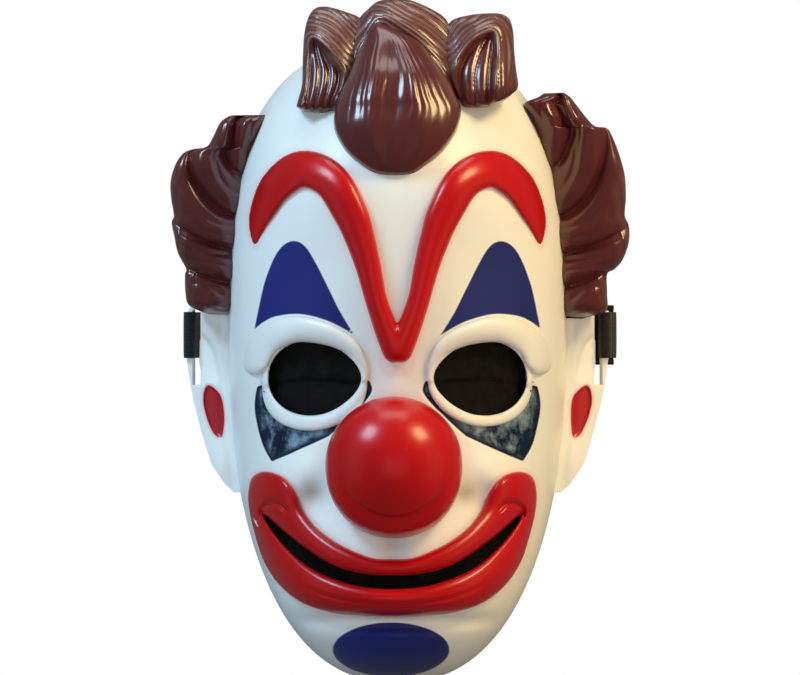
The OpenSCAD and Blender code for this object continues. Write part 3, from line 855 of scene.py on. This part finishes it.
mesh_cloth = Finish("knitted_mesh", (0.003, 0.003, 0.004), 0.62, Specular_IOR_Level=0.12)
knit_rows = mesh_cloth.add("ShaderNodeTexBrick", {"offset": 0.5, "squash": 1.0}, {
    "Vector": mesh_cloth.mapped((1, 1, 1), (math.radians(90), 0, 0)), "Scale": 620.0, "Mortar Size": 0.09,
    "Mortar Smooth": 0.6, "Brick Width": 1.0, "Row Height": 0.5}, out="Fac")
knit = 1 - knit_rows
mesh_cloth.set("Base Color", mesh_cloth.mix(
    knit * mesh_cloth.noise(200, 2), (0.0006, 0.0006, 0.0006), (0.020, 0.018, 0.016)))
mesh_cloth.bump(knit, 0.0004, 1.0)
eye_panel(-1)
eye_panel(1)
panel("mesh_mouth", 90, 14, mouth_place, "mouth_mesh")

# %% Glue beads
bead_spots = [eye_edge(side, math.radians(a), 4.0) for side in (-1, 1) for a in range(20, 360, 60)]
bead_spots += [(u + MOUTH_X, smile(u) + up * 8.0) for u in (-36, -12, 12, 36) for up in (-1, 1)]
beads = []
for number, (bx, bz) in enumerate(bead_spots):
    squeeze = 1 + 0.12 * math.sin(2.3 * number)

    def bead_place(turn, down, bx=bx, bz=bz, squeeze=squeeze):
        px = bx + 1.6 * squeeze * np.sin(down * math.pi) * np.cos(turn)
        pz = bz + 1.6 / squeeze * np.sin(down * math.pi) * np.sin(turn)
        return px, inner_y(px, pz, WALL + 1.2 - 1.1 * np.cos(down * math.pi)), pz

    beads.append(from_ball(f"bead_{number}", 20, 12, bead_place))
glue_beads = join("glue_beads", beads)
hot_glue = Finish("hot_melt_glue", roughness=0.28, Coat_Weight=0.3)
hot_glue.set("Base Color", hot_glue.mix(hot_glue.noise(90), (0.62, 0.54, 0.36), (0.74, 0.68, 0.50)))
hot_glue.bump(hot_glue.noise(300, 2), 0.0002, 0.3)
keep(glue_beads, "mask", "glue", hot_glue, "mesh_glue_dots")

# %% [markdown]
# The ears are flat flanges that lean back from the sides of the face, with a rolled edge and a slot for the
# strap. Columns of the sheet are laid on the slot's two sides, so that it is cut out cleanly.

# %% Ears
EAR_TOP, EAR_FOOT = 13.5, -68.0
SLOT_IN, SLOT_OUT, SLOT_TOP, SLOT_FOOT = 85.2, 88.8, 11.0, -21.5
ear_edge_z = [-69, -64.5, -56, -47, -38, -30, -21.5, -11, 8, 11, 13.6]
ear_edge_x = [69.5, 74.6, 80.4, 83.4, 85.8, 88.0, 89.6, 91.2, 91.2, 90.4, 88.9]
ear_spot = curve([(81.9, -21.6), (78.6, -23.4), (75.8, -27.2), (74.8, -34), (75.2, -42), (76.4, -44.6),
    (79.3, -42.8),
                  (82.2, -37), (84.0, -30.4), (83.9, -24.6)], 4, True)
ear_bowl = curve([(88.4, 1.6), (84.0, -0.3), (80.6, -4), (78.5, -9), (77.6, -14), (77.6, -20), (84, -26),
    (92, -20), (94, -6)], 4, True)
EAR_COLUMNS = 44
slot_columns = (32, 38)


def ear_relief(x, z):
    bowl = 2.6 * smooth(inside_by(x, z, ear_bowl) / 2.2 + 0.4) * smooth((z + 24) / 12)
    helix = 1.6 * np.exp(-(((inside_by(x, z, ear_bowl) + 4) / 3.2) ** 2)) * smooth((z + 20) / 14)
    lobe = 2.0 * hill(x, z, 76, -56, 5, 9)
    valley = 1.2 * np.exp(-(((x - half_width(z) - 2) / 2.5) ** 2))
    shape = helix - bowl + 1.2 + lobe - valley - 1.5 * smooth(inside_by(x, z, ear_spot) / 1.0)
    return shape * smooth((86.2 - x) / 2.4)


def ear(side):
    def place(u, v):
        z = EAR_FOOT + (EAR_TOP - EAR_FOOT) * (v + 1) / 2
        z = np.where(np.abs(z - SLOT_TOP) < 0.6, SLOT_TOP, np.where(
            np.abs(z - SLOT_FOOT) < 0.6, SLOT_FOOT, z))
        inner = half_width(z) - 1.5
        outer = np.interp(z, ear_edge_z, ear_edge_x)
        column = (u + 1) / 2 * EAR_COLUMNS
        held = np.clip(z, SLOT_FOOT, SLOT_TOP)
        inner_held = half_width(held) - 1.5
        outer_held = np.interp(held, ear_edge_z, ear_edge_x)
        first = (SLOT_IN - inner_held) / (outer_held - inner_held)
        second = (SLOT_OUT - inner_held) / (outer_held - inner_held)
        a, b = slot_columns
        part = np.where(column <= a, column / a * first, np.where(
            column <= b, first + (column - a) / (b - a) * (second - first),
            second + (column - b) / (EAR_COLUMNS - b) * (1 - second)))
        x = inner + (outer - inner) * part
        lean = -14.6 + (x - 68) * 0.65 - 1.2
        return side * x, lean - ear_relief(x, z), z
    piece = from_grid("ear_right" if side > 0 else "ear_left", EAR_COLUMNS, 76, place)
    p = points_of(piece) * 1000
    x, z = np.abs(p[:, 0]), p[:, 2]
    layer = piece.data.attributes.new("spot", "FLOAT", "POINT")
    layer.data.foreach_set("value", inside_by(x, z, ear_spot).astype(np.float32))
    inside = (x > SLOT_IN + 0.05) & (x < SLOT_OUT - 0.05) & (z > SLOT_FOOT + 0.05) & (z < SLOT_TOP - 0.05)
    use(piece)
    for item in (*piece.data.polygons, *piece.data.edges):
        item.select = False
    for vertex, gone in zip(piece.data.vertices, inside):
        vertex.select = bool(gone)
    bpy.ops.object.mode_set(mode="EDIT")
    bpy.ops.mesh.select_mode(type="VERT")
    bpy.ops.mesh.delete(type="VERT")
    bpy.ops.mesh.select_all(action="SELECT")
    if side < 0:
        bpy.ops.mesh.flip_normals()
    bpy.ops.object.mode_set(mode="OBJECT")
    painted_outside(piece, ear_paint, bare_latex)
    modify(piece, "SOLIDIFY", thickness=0.0024, offset=-1, material_offset=1)
    modify(piece, "BEVEL", width=0.0006, segments=2, limit_method="ANGLE", angle_limit=math.radians(50))
    return piece


ear_paint = Finish("painted_latex_ear", roughness=0.36, Coat_Weight=0.2, Coat_Roughness=0.25)
spot_gap = ear_paint.field("spot") + (ear_paint.noise(90, 2) - 0.5) * 0.8
ear_base = ear_paint.mix(
    ear_paint.step(spot_gap, -1.5, 0.2) * 0.45, grimy_white(ear_paint), (0.85, 0.22, 0.22))
ear_base = ear_paint.mix(ear_paint.step(spot_gap, -0.2, 0.4), ear_base, (0.42, 0.006, 0.012))
ear_paint.set("Base Color", ear_base)
ear_paint.bump(ear_paint.noise(160, 3), 0.0002, 0.35)
for side in (-1, 1):
    keep(ear(side), "mask", "white_latex", None)

# %% [markdown]
# The hair is moulded and painted a dark reddish brown, with a high gloss that picks out every groove. Each
# piece is a ball whose rows follow a table: the height, the left and right edge seen from the front, the
# depth of its middle, and how far it stands in front of and behind that. A second function adds the strands
# and says where a painted highlight, a lighter brown, lies on them.


# %% Hair maker
def rows_of(table, along):
    rows = curve(table, 12)
    step = np.hypot(np.hypot(np.diff(rows[:, 0]), np.diff(rows[:, 1]) * 0.5), np.diff(rows[:, 2]) * 0.5)
    length = np.concatenate([[0], np.cumsum(step)])
    at = np.linspace(0, length[-1], along + 1)
    return np.stack([np.interp(at, length, rows[:, k]) for k in range(6)], axis=1)


def hair(name, table, around, along, strands, round_off=0.75, tuck=0.0):
    rows = rows_of(table, along)
    hair_highlight = []

    def place(turn, down):
        z, left, right, middle, front, back = rows[np.round(down * along).astype(int)].T
        left, right = left - tuck * (left > 0), right + tuck * (left < 0)
        c, s = np.cos(turn), np.sin(turn)
        across = np.sign(c) * np.abs(c) ** 0.9
        x = (left + right) / 2 + (right - left) / 2 * across
        lift = np.abs(s) ** round_off
        raised, light = strands(x, z, across)
        # The painted highlight on the back of a piece is a third as strong.
        hair_highlight.append(np.where(s < 0, light, 0.3 * light))
        y = np.where(s < 0, middle - (front + raised) * lift, middle + (back + 0.3 * raised) * lift)
        # The foot of a lock ends inside the wall and never comes through it.
        over_shell = (np.abs(x) < half_width(z) - 1.2) & (z < LEVEL + CROWN - 1.2)
        return x, np.where(over_shell, np.minimum(
            y, inner_y(x, z, 1.0) + np.minimum(0, face_y(x, z) - plain_y(x, z))), y), z

    piece = from_ball(name, around, along, place)
    # The painted highlight goes to the hair paint as an attribute.
    layer = piece.data.attributes.new("hair_highlight", "FLOAT", "POINT")
    layer.data.foreach_set("value", np.clip(hair_highlight[0], 0, 1).astype(np.float32))
    return piece


def strand(phase, sharp=0.55):
    # Rounded strands between narrow grooves, from 0 in a groove to 1 on top.
    return np.abs(np.sin(math.pi * phase)) ** sharp


# %% [markdown]
# The forelock is a heavy drop that hangs over the forehead. Its grooves run from the tip at the top, spread
# over the widest part, and fade out towards the smooth end.

# %% Forelock
FORELOCK = [
    (134.8, -8.9, -8.0, -60, 1, 1), (132.6, -11.4, -3.2, -61, 6, 6), (127, -14.2, 8.2, -63, 11, 10),
    (119.2, -17.8, 15.2, -66, 15, 12), (111.6, -20.9, 20.6, -70, 18, 14), (103, -24.9, 24.8, -74, 19, 14),
    (97.4, -26.6, 27.3, -76, 19, 12), (91, -27.4, 26.5, -79, 18.5, 10), (84.9, -25.9, 24.0, -82, 16.5, 9),
    (78, -21.6, 18.9, -84.5, 13.8, 7), (72, -15.0, 12.0, -87, 10, 5), (69, -9.6, 7.4, -89, 6, 3),
    (67.9, -3, 0.2, -90, 1, 1)]
forelock_edge = curve([(-8.4, 134.6), (-16.1, 122.6), (-20.9, 111.4), (-25.6, 101.1), (-27.5, 94.2),
    (-26.9, 87.3),
                       (-19.1, 75.3), (-7, 68.2), (6.7, 68.5), (18.7, 77.8), (26.4, 90.7), (27.5, 97.2),
                       (24.7, 102.8),
                       (20.4, 112.2), (15.3, 119.1), (8.4, 126.9), (0.6, 132)], 3, True)


def forelock_strands(x, z, across):
    fade = smooth((z - 84) / 22) * smooth((132 - z) / 16)
    sway = across * 6.2 + 0.35 * np.sin(across * 5 + z / 11)
    fine = 0.9 * (strand(sway, 0.7) - 1) * fade * (0.45 + 0.55 * np.sin(across * 3.1 + 0.6) ** 2)
    wide = 1.0 * np.sin(across * 7.5 - 0.8) * smooth((z - 80) / 18) * smooth((131 - z) / 14)
    low = 0.35 * np.sin(across * 15 + 1) * smooth((z - 70) / 10) * smooth((96 - z) / 14)
    # Painted highlight: lighter brown down both sides of the drop.
    return fine + wide + low, 0.25 * smooth((np.abs(across) - 0.75) / 0.2) * fade


# %% [markdown]
# Behind the forelock stands a crest, and a lobe on either side of it. Their strands run side by side, each
# at the same distance all along from the edge that they frame, so the distance from that edge numbers them.

# %% Crest
CREST = [
    (145.2, -2, 1.5, -44, 1, 1), (143.6, -8.6, 7.4, -45, 5, 5), (140.4, -12.6, 14.6, -46, 6, 8),
    (136, -16.6, 20.8, -48, 7, 10),
    (128, -19.4, 24.0, -50, 8, 12), (118, -21.4, 24.4, -54, 9, 12), (108, -24, 26, -58, 10, 11),
    (100, -24, 26, -62, 9, 9),
    (97, -18, 22, -64, 2, 2)]


def crest_strands(x, z, across):
    out = -inside_by(x, z, forelock_edge)
    number = out / 2.0 + 0.45 * np.sin(x / 6.5 + 0.8) + 0.22 * np.sin(z / 3.1 + x / 4.3)
    band = strand(number, 0.6) * (0.62 + 0.38 * np.sin(number * 2.4 + x / 9) ** 2)
    ridge_line = 9.0 * np.exp(-((out / 8.0) ** 2)) + 1.2 * np.sin(out / 2.3)
    # Painted highlight: lighter brown on the tops of the strands, growing towards the top of the crest.
    light = band**2 * smooth((z - 108) / 22) * (0.45 + 0.55 * np.sin(number * 1.3 + z / 11) ** 2)
    return ridge_line + 1.15 * (band - 1) * smooth((z - 104) / 10), light


# %% Lobes beside the crest
LOBE_LEFT = [
    (141.5, -33.6, -30.6, -44, 1, 1), (139.9, -36.4, -24.4, -45, 4, 5), (136, -38.7, -15.5, -47, 6, 8),
    (129, -40.2, -14, -50, 8, 11),
    (120, -40.7, -14, -53, 10, 12), (108, -41.1, -18, -58, 11, 12), (101, -42.8, -22, -61, 10, 10),
    (98, -43.3, -24, -63, 8, 7),
    (96.2, -40.4, -26, -64.5, 5, 4), (95.4, -35, -29, -65.5, 1, 1)]
LOBE_RIGHT = [
    (138.6, 39.4, 43.0, -44, 1, 1), (137.8, 31.2, 46.0, -45, 4, 4), (135.4, 23.4, 48.6, -47, 6, 8),
    (130, 20.6, 49.9, -49, 8, 11),
    (122, 19.4, 50.3, -52, 10, 12), (114, 19.8, 51.1, -56, 11, 12), (107, 22.4, 51.9, -59, 11, 11),
    (103.6, 24.4, 49.4, -61, 10, 9),
    (100, 26.6, 44.6, -63, 8, 6), (98, 28, 38.6, -64.5, 5, 3), (97.4, 31, 35, -65.4, 1, 1)]
scoop_left = curve([(-41.6, 92), (-40.6, 103), (-39.4, 116), (-37.8, 125.2), (-35.8, 127.6), (-31.4, 124.4),
    (-27, 119),
                    (-23.2, 113.6), (-23.6, 107), (-26.4, 100), (-27.8, 92)], 4, True)
scoop_right = curve([(28.4, 92), (25.2, 101), (24.2, 112), (27.6, 120.6), (33.8, 127.4), (38.6, 130.6),
    (42.2, 129.6),
                     (43.0, 121), (42.2, 111), (41.8, 100), (42, 92)], 4, True)


def span_of(outline, z):
    # How far an outline reaches to the left and right at a height.
    left, right = np.full(z.shape, np.inf), np.full(z.shape, -np.inf)
    for p, q in zip(outline, np.roll(outline, -1, axis=0)):
        low, high = min(p[1], q[1]), max(p[1], q[1])
        if high - low > 1e-6:
            x = p[0] + (q[0] - p[0]) * (z - p[1]) / (q[1] - p[1])
            left = np.where((z >= low) & (z <= high), np.minimum(left, x), left)
            right = np.where((z >= low) & (z <= high), np.maximum(right, x), right)
    return left, right


def lobe_strands(scoop, grooves, deep):
    def strands(x, z, across):
        within = inside_by(x, z, scoop)
        left, right = span_of(scoop, z)
        part = np.where(np.isfinite(left), (x - left) / np.maximum(right - left, 0.5), 0)
        out = np.maximum(-within, 0)
        number = out / 1.95 + 0.4 * np.sin(z / 6.5) + 0.2 * np.sin(x / 2.7 + z / 4.1)
        band = strand(number, 0.6) * (0.62 + 0.38 * np.sin(number * 2.2 + z / 8) ** 2)
        rim = 7.0 * np.exp(-((out / 7.5) ** 2))
        hollow = smooth((within + 0.6) / 3.4)
        fan = strand(part * grooves + 0.5, 0.8)
        raised = rim - hollow * (deep + 1.6 * (1 - fan)) + 1.05 * (band - 1) * (1 - hollow)
        # Painted highlight: lighter brown on the tops of the strands outside the scoop, growing upwards.
        light = band**2 * (1 - hollow) * smooth((z - 100) / 20) * (
            0.4 + 0.6 * np.sin(number * 1.2 + x / 6) ** 2)
        return raised, light
    return strands


forelock = hair("forelock", FORELOCK, 200, 140, forelock_strands)
crest = hair("crest", CREST, 220, 130, crest_strands)
lobe_left = hair("lobe_left", LOBE_LEFT, 180, 130, lobe_strands(scoop_left, 4, 4.6))
lobe_right = hair("lobe_right", LOBE_RIGHT, 180, 130, lobe_strands(scoop_right, 3, 4.6))

# %% [markdown]
# Over each ear the hair is moulded as five big locks, each lying over the next one down. A lock's
# lower edge starts level at the face and turns up to its tip on the outside, where the tips make the outline
# lumpy. Fine grooves follow the same sweep.

# %% Side hair
SIDE_LEFT = [
    (95.0, -70.5, -61.8, -26, 1, 1), (94.0, -73.6, -62.6, -25, 5, 5), (91.2, -76.8, -63.8, -24, 9, 8),
    (85.1, -79.8, -66.4, -23, 11, 10),
    (81.2, -82.6, -67.6, -22, 11, 11), (80.2, -88.4, -67.9, -22, 11, 11), (78.3, -92.7, -68.4, -21, 12, 12),
    (73.1, -96.1, -69.6, -21, 13, 13),
    (66.2, -98.0, -71.0, -20, 13, 13), (59.3, -97.8, -71.8, -20, 13, 13), (51.6, -96.6, -72.8, -20, 13, 13),
    (48.4, -97.5, -73.2, -20, 13, 13),
    (42.1, -96.3, -73.8, -20, 13, 13), (35.3, -94.8, -73.8, -19, 12, 12), (28.6, -91.3, -73.9, -19, 12, 12),
    (26, -91.8, -74.0, -19, 12, 12),
    (18.1, -91.6, -75.0, -18, 11, 11), (13, -90.2, -76.8, -18, 10, 10), (10, -84.6, -78.4, -18, 6, 6),
    (8.8, -80.6, -79.2, -18, 1, 1)]
SIDE_RIGHT = [
    (104.6, 69.6, 71.8, -26, 1, 1), (102.6, 66.6, 74.6, -26, 5, 5), (99.6, 60.4, 77.0, -25, 8, 8),
    (94, 63.4, 81.4, -24, 11, 10), (90.2, 64.6, 85.2, -23, 11, 10),
    (89.4, 64.8, 90.2, -23, 11, 10), (86.9, 65.4, 92.2, -22, 12, 11), (80.8, 66.0, 94.8, -21, 13, 12),
    (74, 68.0, 97.0, -21, 13, 13),
    (67.9, 69.6, 98.3, -20, 13, 13), (59.3, 70.8, 98.7, -20, 13, 13), (51.6, 70.9, 98.2, -20, 13, 13),
    (47.3, 70.8, 99.9, -20, 13, 13),
    (40.4, 70.6, 100.0, -20, 13, 13), (32.7, 71.8, 97.4, -19, 12, 12), (28.4, 72.2, 93.8, -19, 12, 12),
    (26.2, 72.4, 90.6, -19, 12, 12),
    (18, 74.0, 90.6, -18, 11, 11), (10.6, 76.2, 90.3, -18, 9, 9), (8.2, 77.0, 84, -18, 5, 5),
    (7.0, 77.8, 80, -18, 1, 1)]
# Each lock's lower edge: its height at the face, and how far it has climbed at the outside.
LOCKS_LEFT = [(8, 0), (22.5, 7), (36.5, 13), (51, 34), (69, 54), (112, 60)]
LOCKS_RIGHT = [(6, 0), (20.5, 8), (34.4, 13), (50, 42), (71, 70), (124, 60)]


def side_strands(side, locks):
    def strands(x, z, across):
        out = np.clip((across * side + 1) / 2, 0, 1)
        edges = [start + climb * out**2 for start, climb in locks]
        number = np.zeros(x.shape)
        for low, high in zip(edges[:-1], edges[1:]):
            number = number + np.clip((z - low) / np.maximum(high - low, 1), 0, 1)
        part = number % 1
        fullness = np.sin(math.pi * np.clip(part, 0, 1) ** 0.75) ** 0.75
        depth = 5.6 + 1.2 * smooth(number - 2.2)
        crease = strand(number * 3.0 + 0.4 * np.sin(out * 5 + number * 2), 1.1)
        near_face = (0.45 + 0.55 * smooth((0.7 - out) / 0.4)) * (0.55 + 0.45 * np.sin(number * 5.3 + 1) ** 2)
        rims = strand((out * 9 + number * 1.5), 0.8) * smooth((out - 0.72) / 0.2) * smooth((2.9 - number) * 2)
        raised = depth * (fullness - 0.85) - 1.1 * (1 - crease) * near_face - 0.5 * rims
        # Painted highlight: lighter brown on the rims at the outer tips of the locks.
        return raised, 0.22 * smooth((out - 0.8) / 0.2) * rims
    return strands


side_left = hair("side_hair_left", SIDE_LEFT, 200, 220, side_strands(-1, LOCKS_LEFT), 0.6, 6.0)
side_right = hair("side_hair_right", SIDE_RIGHT, 200, 220, side_strands(1, LOCKS_RIGHT), 0.6, 6.0)

# %% Hair paint
hair_paint = Finish(
    "painted_latex_hair", roughness=0.28, Coat_Weight=0.6, Coat_Roughness=0.14, Specular_IOR_Level=0.45)
tone = hair_paint.noise(24, 4)
hair_brown = hair_paint.mix(tone, (0.070, 0.0105, 0.011), (0.105, 0.019, 0.017))
# Painted highlight: a lighter tan where the strands say, broken up by noise.
painted_hair_highlight = hair_paint.field("hair_highlight") * hair_paint.step(hair_paint.noise(60, 4), 0.2, 0.8, 0.45, 1.0)
hair_paint.set("Base Color", hair_paint.mix(painted_hair_highlight * 0.85, hair_brown, (0.33, 0.22, 0.17)))
hair_paint.set("Roughness", 0.28 + painted_hair_highlight * 0.2)
hair_paint.bump(hair_paint.noise(220, 2), 0.0002, 0.25)
keep(forelock, "mask", "hair_latex", hair_paint, "hair_top_centre")
keep(crest, "mask", "hair_latex", hair_paint)
keep(lobe_left, "mask", "hair_latex", hair_paint, "hair_top_left")
keep(lobe_right, "mask", "hair_latex", hair_paint, "hair_top_right")
keep(side_left, "mask", "hair_latex", hair_paint, "hair_side_left")
keep(side_right, "mask", "hair_latex", hair_paint, "hair_side_right")

# %% [markdown]
# The strap is ribbed elastic, 20 mm wide. It goes round the bar of the left ear, round the back of the head,
# and through the right ear to a slider. A ribbon is a ball again, drawn out along a path in plan, with a flat
# ribbed section.

# %% Ribbon maker
STRAP_HALF, STRAP_THICK = 10.0, 1.2


def plan_path(points, count):
    p = np.array(points, float)
    step = np.hypot(*np.diff(p, axis=0).T)
    length = np.concatenate([[0], np.cumsum(step)])
    bend = np.zeros(len(p))
    heading = np.unwrap(np.arctan2(*np.diff(p, axis=0).T[::-1]))
    bend[1:-1] = np.abs(np.diff(heading))
    weight = length + 9.0 * np.cumsum(bend)
    at = np.linspace(0, weight[-1], count + 1)
    return np.stack([np.interp(at, weight, p[:, k]) for k in (0, 1)], axis=1)


def ribbon(name, points, count, thick=STRAP_THICK):
    path = plan_path(points, count)
    dx, dy = np.gradient(path[:, 0]), np.gradient(path[:, 1])
    size = np.maximum(np.hypot(dx, dy), 1e-6)

    def place(turn, down):
        i = np.round(down * count).astype(int)
        end = np.minimum(1, np.sqrt(np.minimum(down, 1 - down) * count / 1.5))
        z = STRAP_HALF * np.cos(turn) * end
        rib = 1 - 0.16 * np.cos(z * 2 * math.pi / 1.25) ** 2
        off = thick / 2 * np.sign(np.sin(turn)) * np.abs(np.sin(turn)) ** 0.22 * rib * end
        return path[i, 0] - off * dy[i] / size[i], path[i, 1] + off * dx[i] / size[i], -z

    return from_ball(name, 160, count, place)


def turn_arc(cx, cy, r, first, last, steps=12):
    return [(cx + r * math.cos(math.radians(a)), cy + r * math.sin(math.radians(a)))
            for a in np.linspace(first, last, steps)]


ear_in = [(89.4, 40), (89.4, 12), (88.2, 5), (87.6, 1), (87.6, -1.2)]
ear_turn = turn_arc(89.85, -1.2, 2.25, 180, 360)[1:-1]
ear_out = [(92.1, -1.2), (92.1, 1), (91.9, 5), (91, 12)]
right_ear = ear_in + ear_turn + ear_out + [(91, 25.4)]
left_ear = [(-x, y) for x, y in reversed(ear_in + ear_turn + ear_out + [(91, 24.6)])]
round_head = [(-89.4 * math.cos(a), 64 + 48 * math.sin(a)) for a in np.linspace(0, math.pi, 60)]
strap_long = ribbon("strap_long", left_ear + round_head + right_ear, 460)
strap_short = ribbon("strap_doubled", [(91, 25.9), (91, 46.6)], 30)
slider_end = ribbon("strap_end", [(91.1, 47), (91.1, 53), (91.3, 56)] + turn_arc(93.1, 56, 1.8, 165, 10, 10)
                    + [(94.9, 56), (93.9, 54.0), (92.9, 52.2), (92.4, 51), (92.35, 47)], 90)

# %% Elastic
elastic = Finish("ribbed_elastic", roughness=0.7, Specular_IOR_Level=0.25, Sheen_Weight=0.25)
weft = elastic.add(
    "ShaderNodeTexWave", {"bands_direction": "Y"}, {"Vector": elastic.place(), "Scale": 330.0}, out="Fac")
warp = elastic.add(
    "ShaderNodeTexWave", {"bands_direction": "X"}, {"Vector": elastic.place(), "Scale": 330.0}, out="Fac")
rib_lines = elastic.add(
    "ShaderNodeTexWave", {"bands_direction": "Z"}, {"Vector": elastic.place(), "Scale": 400.0}, out="Fac")
yarn = weft * warp * 0.5 + rib_lines * 0.5
elastic.set("Base Color", elastic.mix(yarn, (0.003, 0.003, 0.003), (0.022, 0.021, 0.021)))
elastic.bump(yarn, 0.0003, 0.8)
keep(strap_long, None, "elastic", elastic, "strap_band", "ear_loop_left", "ear_loop_right")
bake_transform(strap_long)
keep(strap_short, "strap", "elastic", elastic, "strap_return")
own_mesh(strap_short)
keep(slider_end, "slider", "elastic", elastic, "slider_loop")

# %% [markdown]
# The ends of the elastic are sewn down with bar tacks: short rows of dense stitches. Each row is one small
# piece, swollen and waisted at every stitch.


# %% Bar tacks
def bar_tack(name, y, x_faces):
    rows = []
    for x in x_faces:
        for step in (-2, 0, 2):
            def place(turn, down, x=x, step=step):
                z = 7.5 - 15 * down
                pulse = 0.7 + 0.3 * np.abs(np.sin(math.pi * z / 0.75))
                end = np.minimum(1, np.sqrt(np.minimum(down, 1 - down) * 14))
                sway = 0.25 * np.sin(math.pi * z / 0.75)
                return (
                    x + 0.35 * pulse * end * np.cos(turn),
                    y + step + sway + 0.55 * pulse * end * np.sin(turn), z)
            rows.append(from_ball(name, 10, 80, place))
    return join(name, rows)


thread = Finish("black_thread", roughness=0.5, Sheen_Weight=0.2)
thread.set("Base Color", thread.mix(thread.noise(900), (0.012, 0.012, 0.012), (0.05, 0.05, 0.05)))
thread.bump(thread.noise(1500, 1), 0.0001, 0.5)
tack_left = bar_tack("stitches_left", 18, (-88.75, -91.65))
keep(tack_left, None, "thread", thread, "bar_tack_left")
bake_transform(tack_left)
keep(bar_tack("stitches_right", 49.8, (90.45, 93.0)), "slider", "thread", thread, "bar_tack_right")

# %% [markdown]
# The slider is a small moulded frame with a bar across its middle. Five boxes are set in place, merged by a
# voxel remesh, and smoothed, which leaves the rounded edges that a moulding has.


# %% Slider
def box_between(low, high):
    bpy.ops.object.select_all(action="DESELECT")
    middle = [(a + b) / 2000 for a, b in zip(low, high)]
    bpy.ops.mesh.primitive_cube_add(size=1, location=middle)
    piece = bpy.context.object
    piece.scale = [(b - a) / 1000 for a, b in zip(low, high)]
    bpy.ops.object.transform_apply(location=True, rotation=True, scale=True)
    return piece


slider_parts = [box_between((85.9, 49.5, z0), (94.2, 62.5, z0 + 2.4)) for z0 in (-13.0, 10.6)]
slider_parts += [box_between((85.9, y0, -11.2), (88.1, y0 + 2.2, 11.2)) for y0 in (49.5, 60.3)]
slider_parts += [box_between((92.1, 55.0, -11.2), (94.1, 57.0, 11.2))]
slider = join("slider_frame", slider_parts)
modify(slider, "REMESH", mode="VOXEL", voxel_size=0.00028, use_smooth_shade=True)
modify(slider, "SMOOTH", factor=0.5, iterations=8)
slider_plastic = Finish("moulded_black_plastic", roughness=0.42, Specular_IOR_Level=0.45)
slider_plastic.set("Base Color", slider_plastic.mix(
    slider_plastic.noise(60, 4), (0.010, 0.010, 0.011), (0.020, 0.020, 0.021)))
slider_plastic.set("Roughness", slider_plastic.noise(45, 3) * 0.2 + 0.34)
slider_plastic.bump(slider_plastic.noise(700, 2), 0.0001, 0.6)
keep(slider, "slider", "slider_plastic", slider_plastic, "strap_slider")
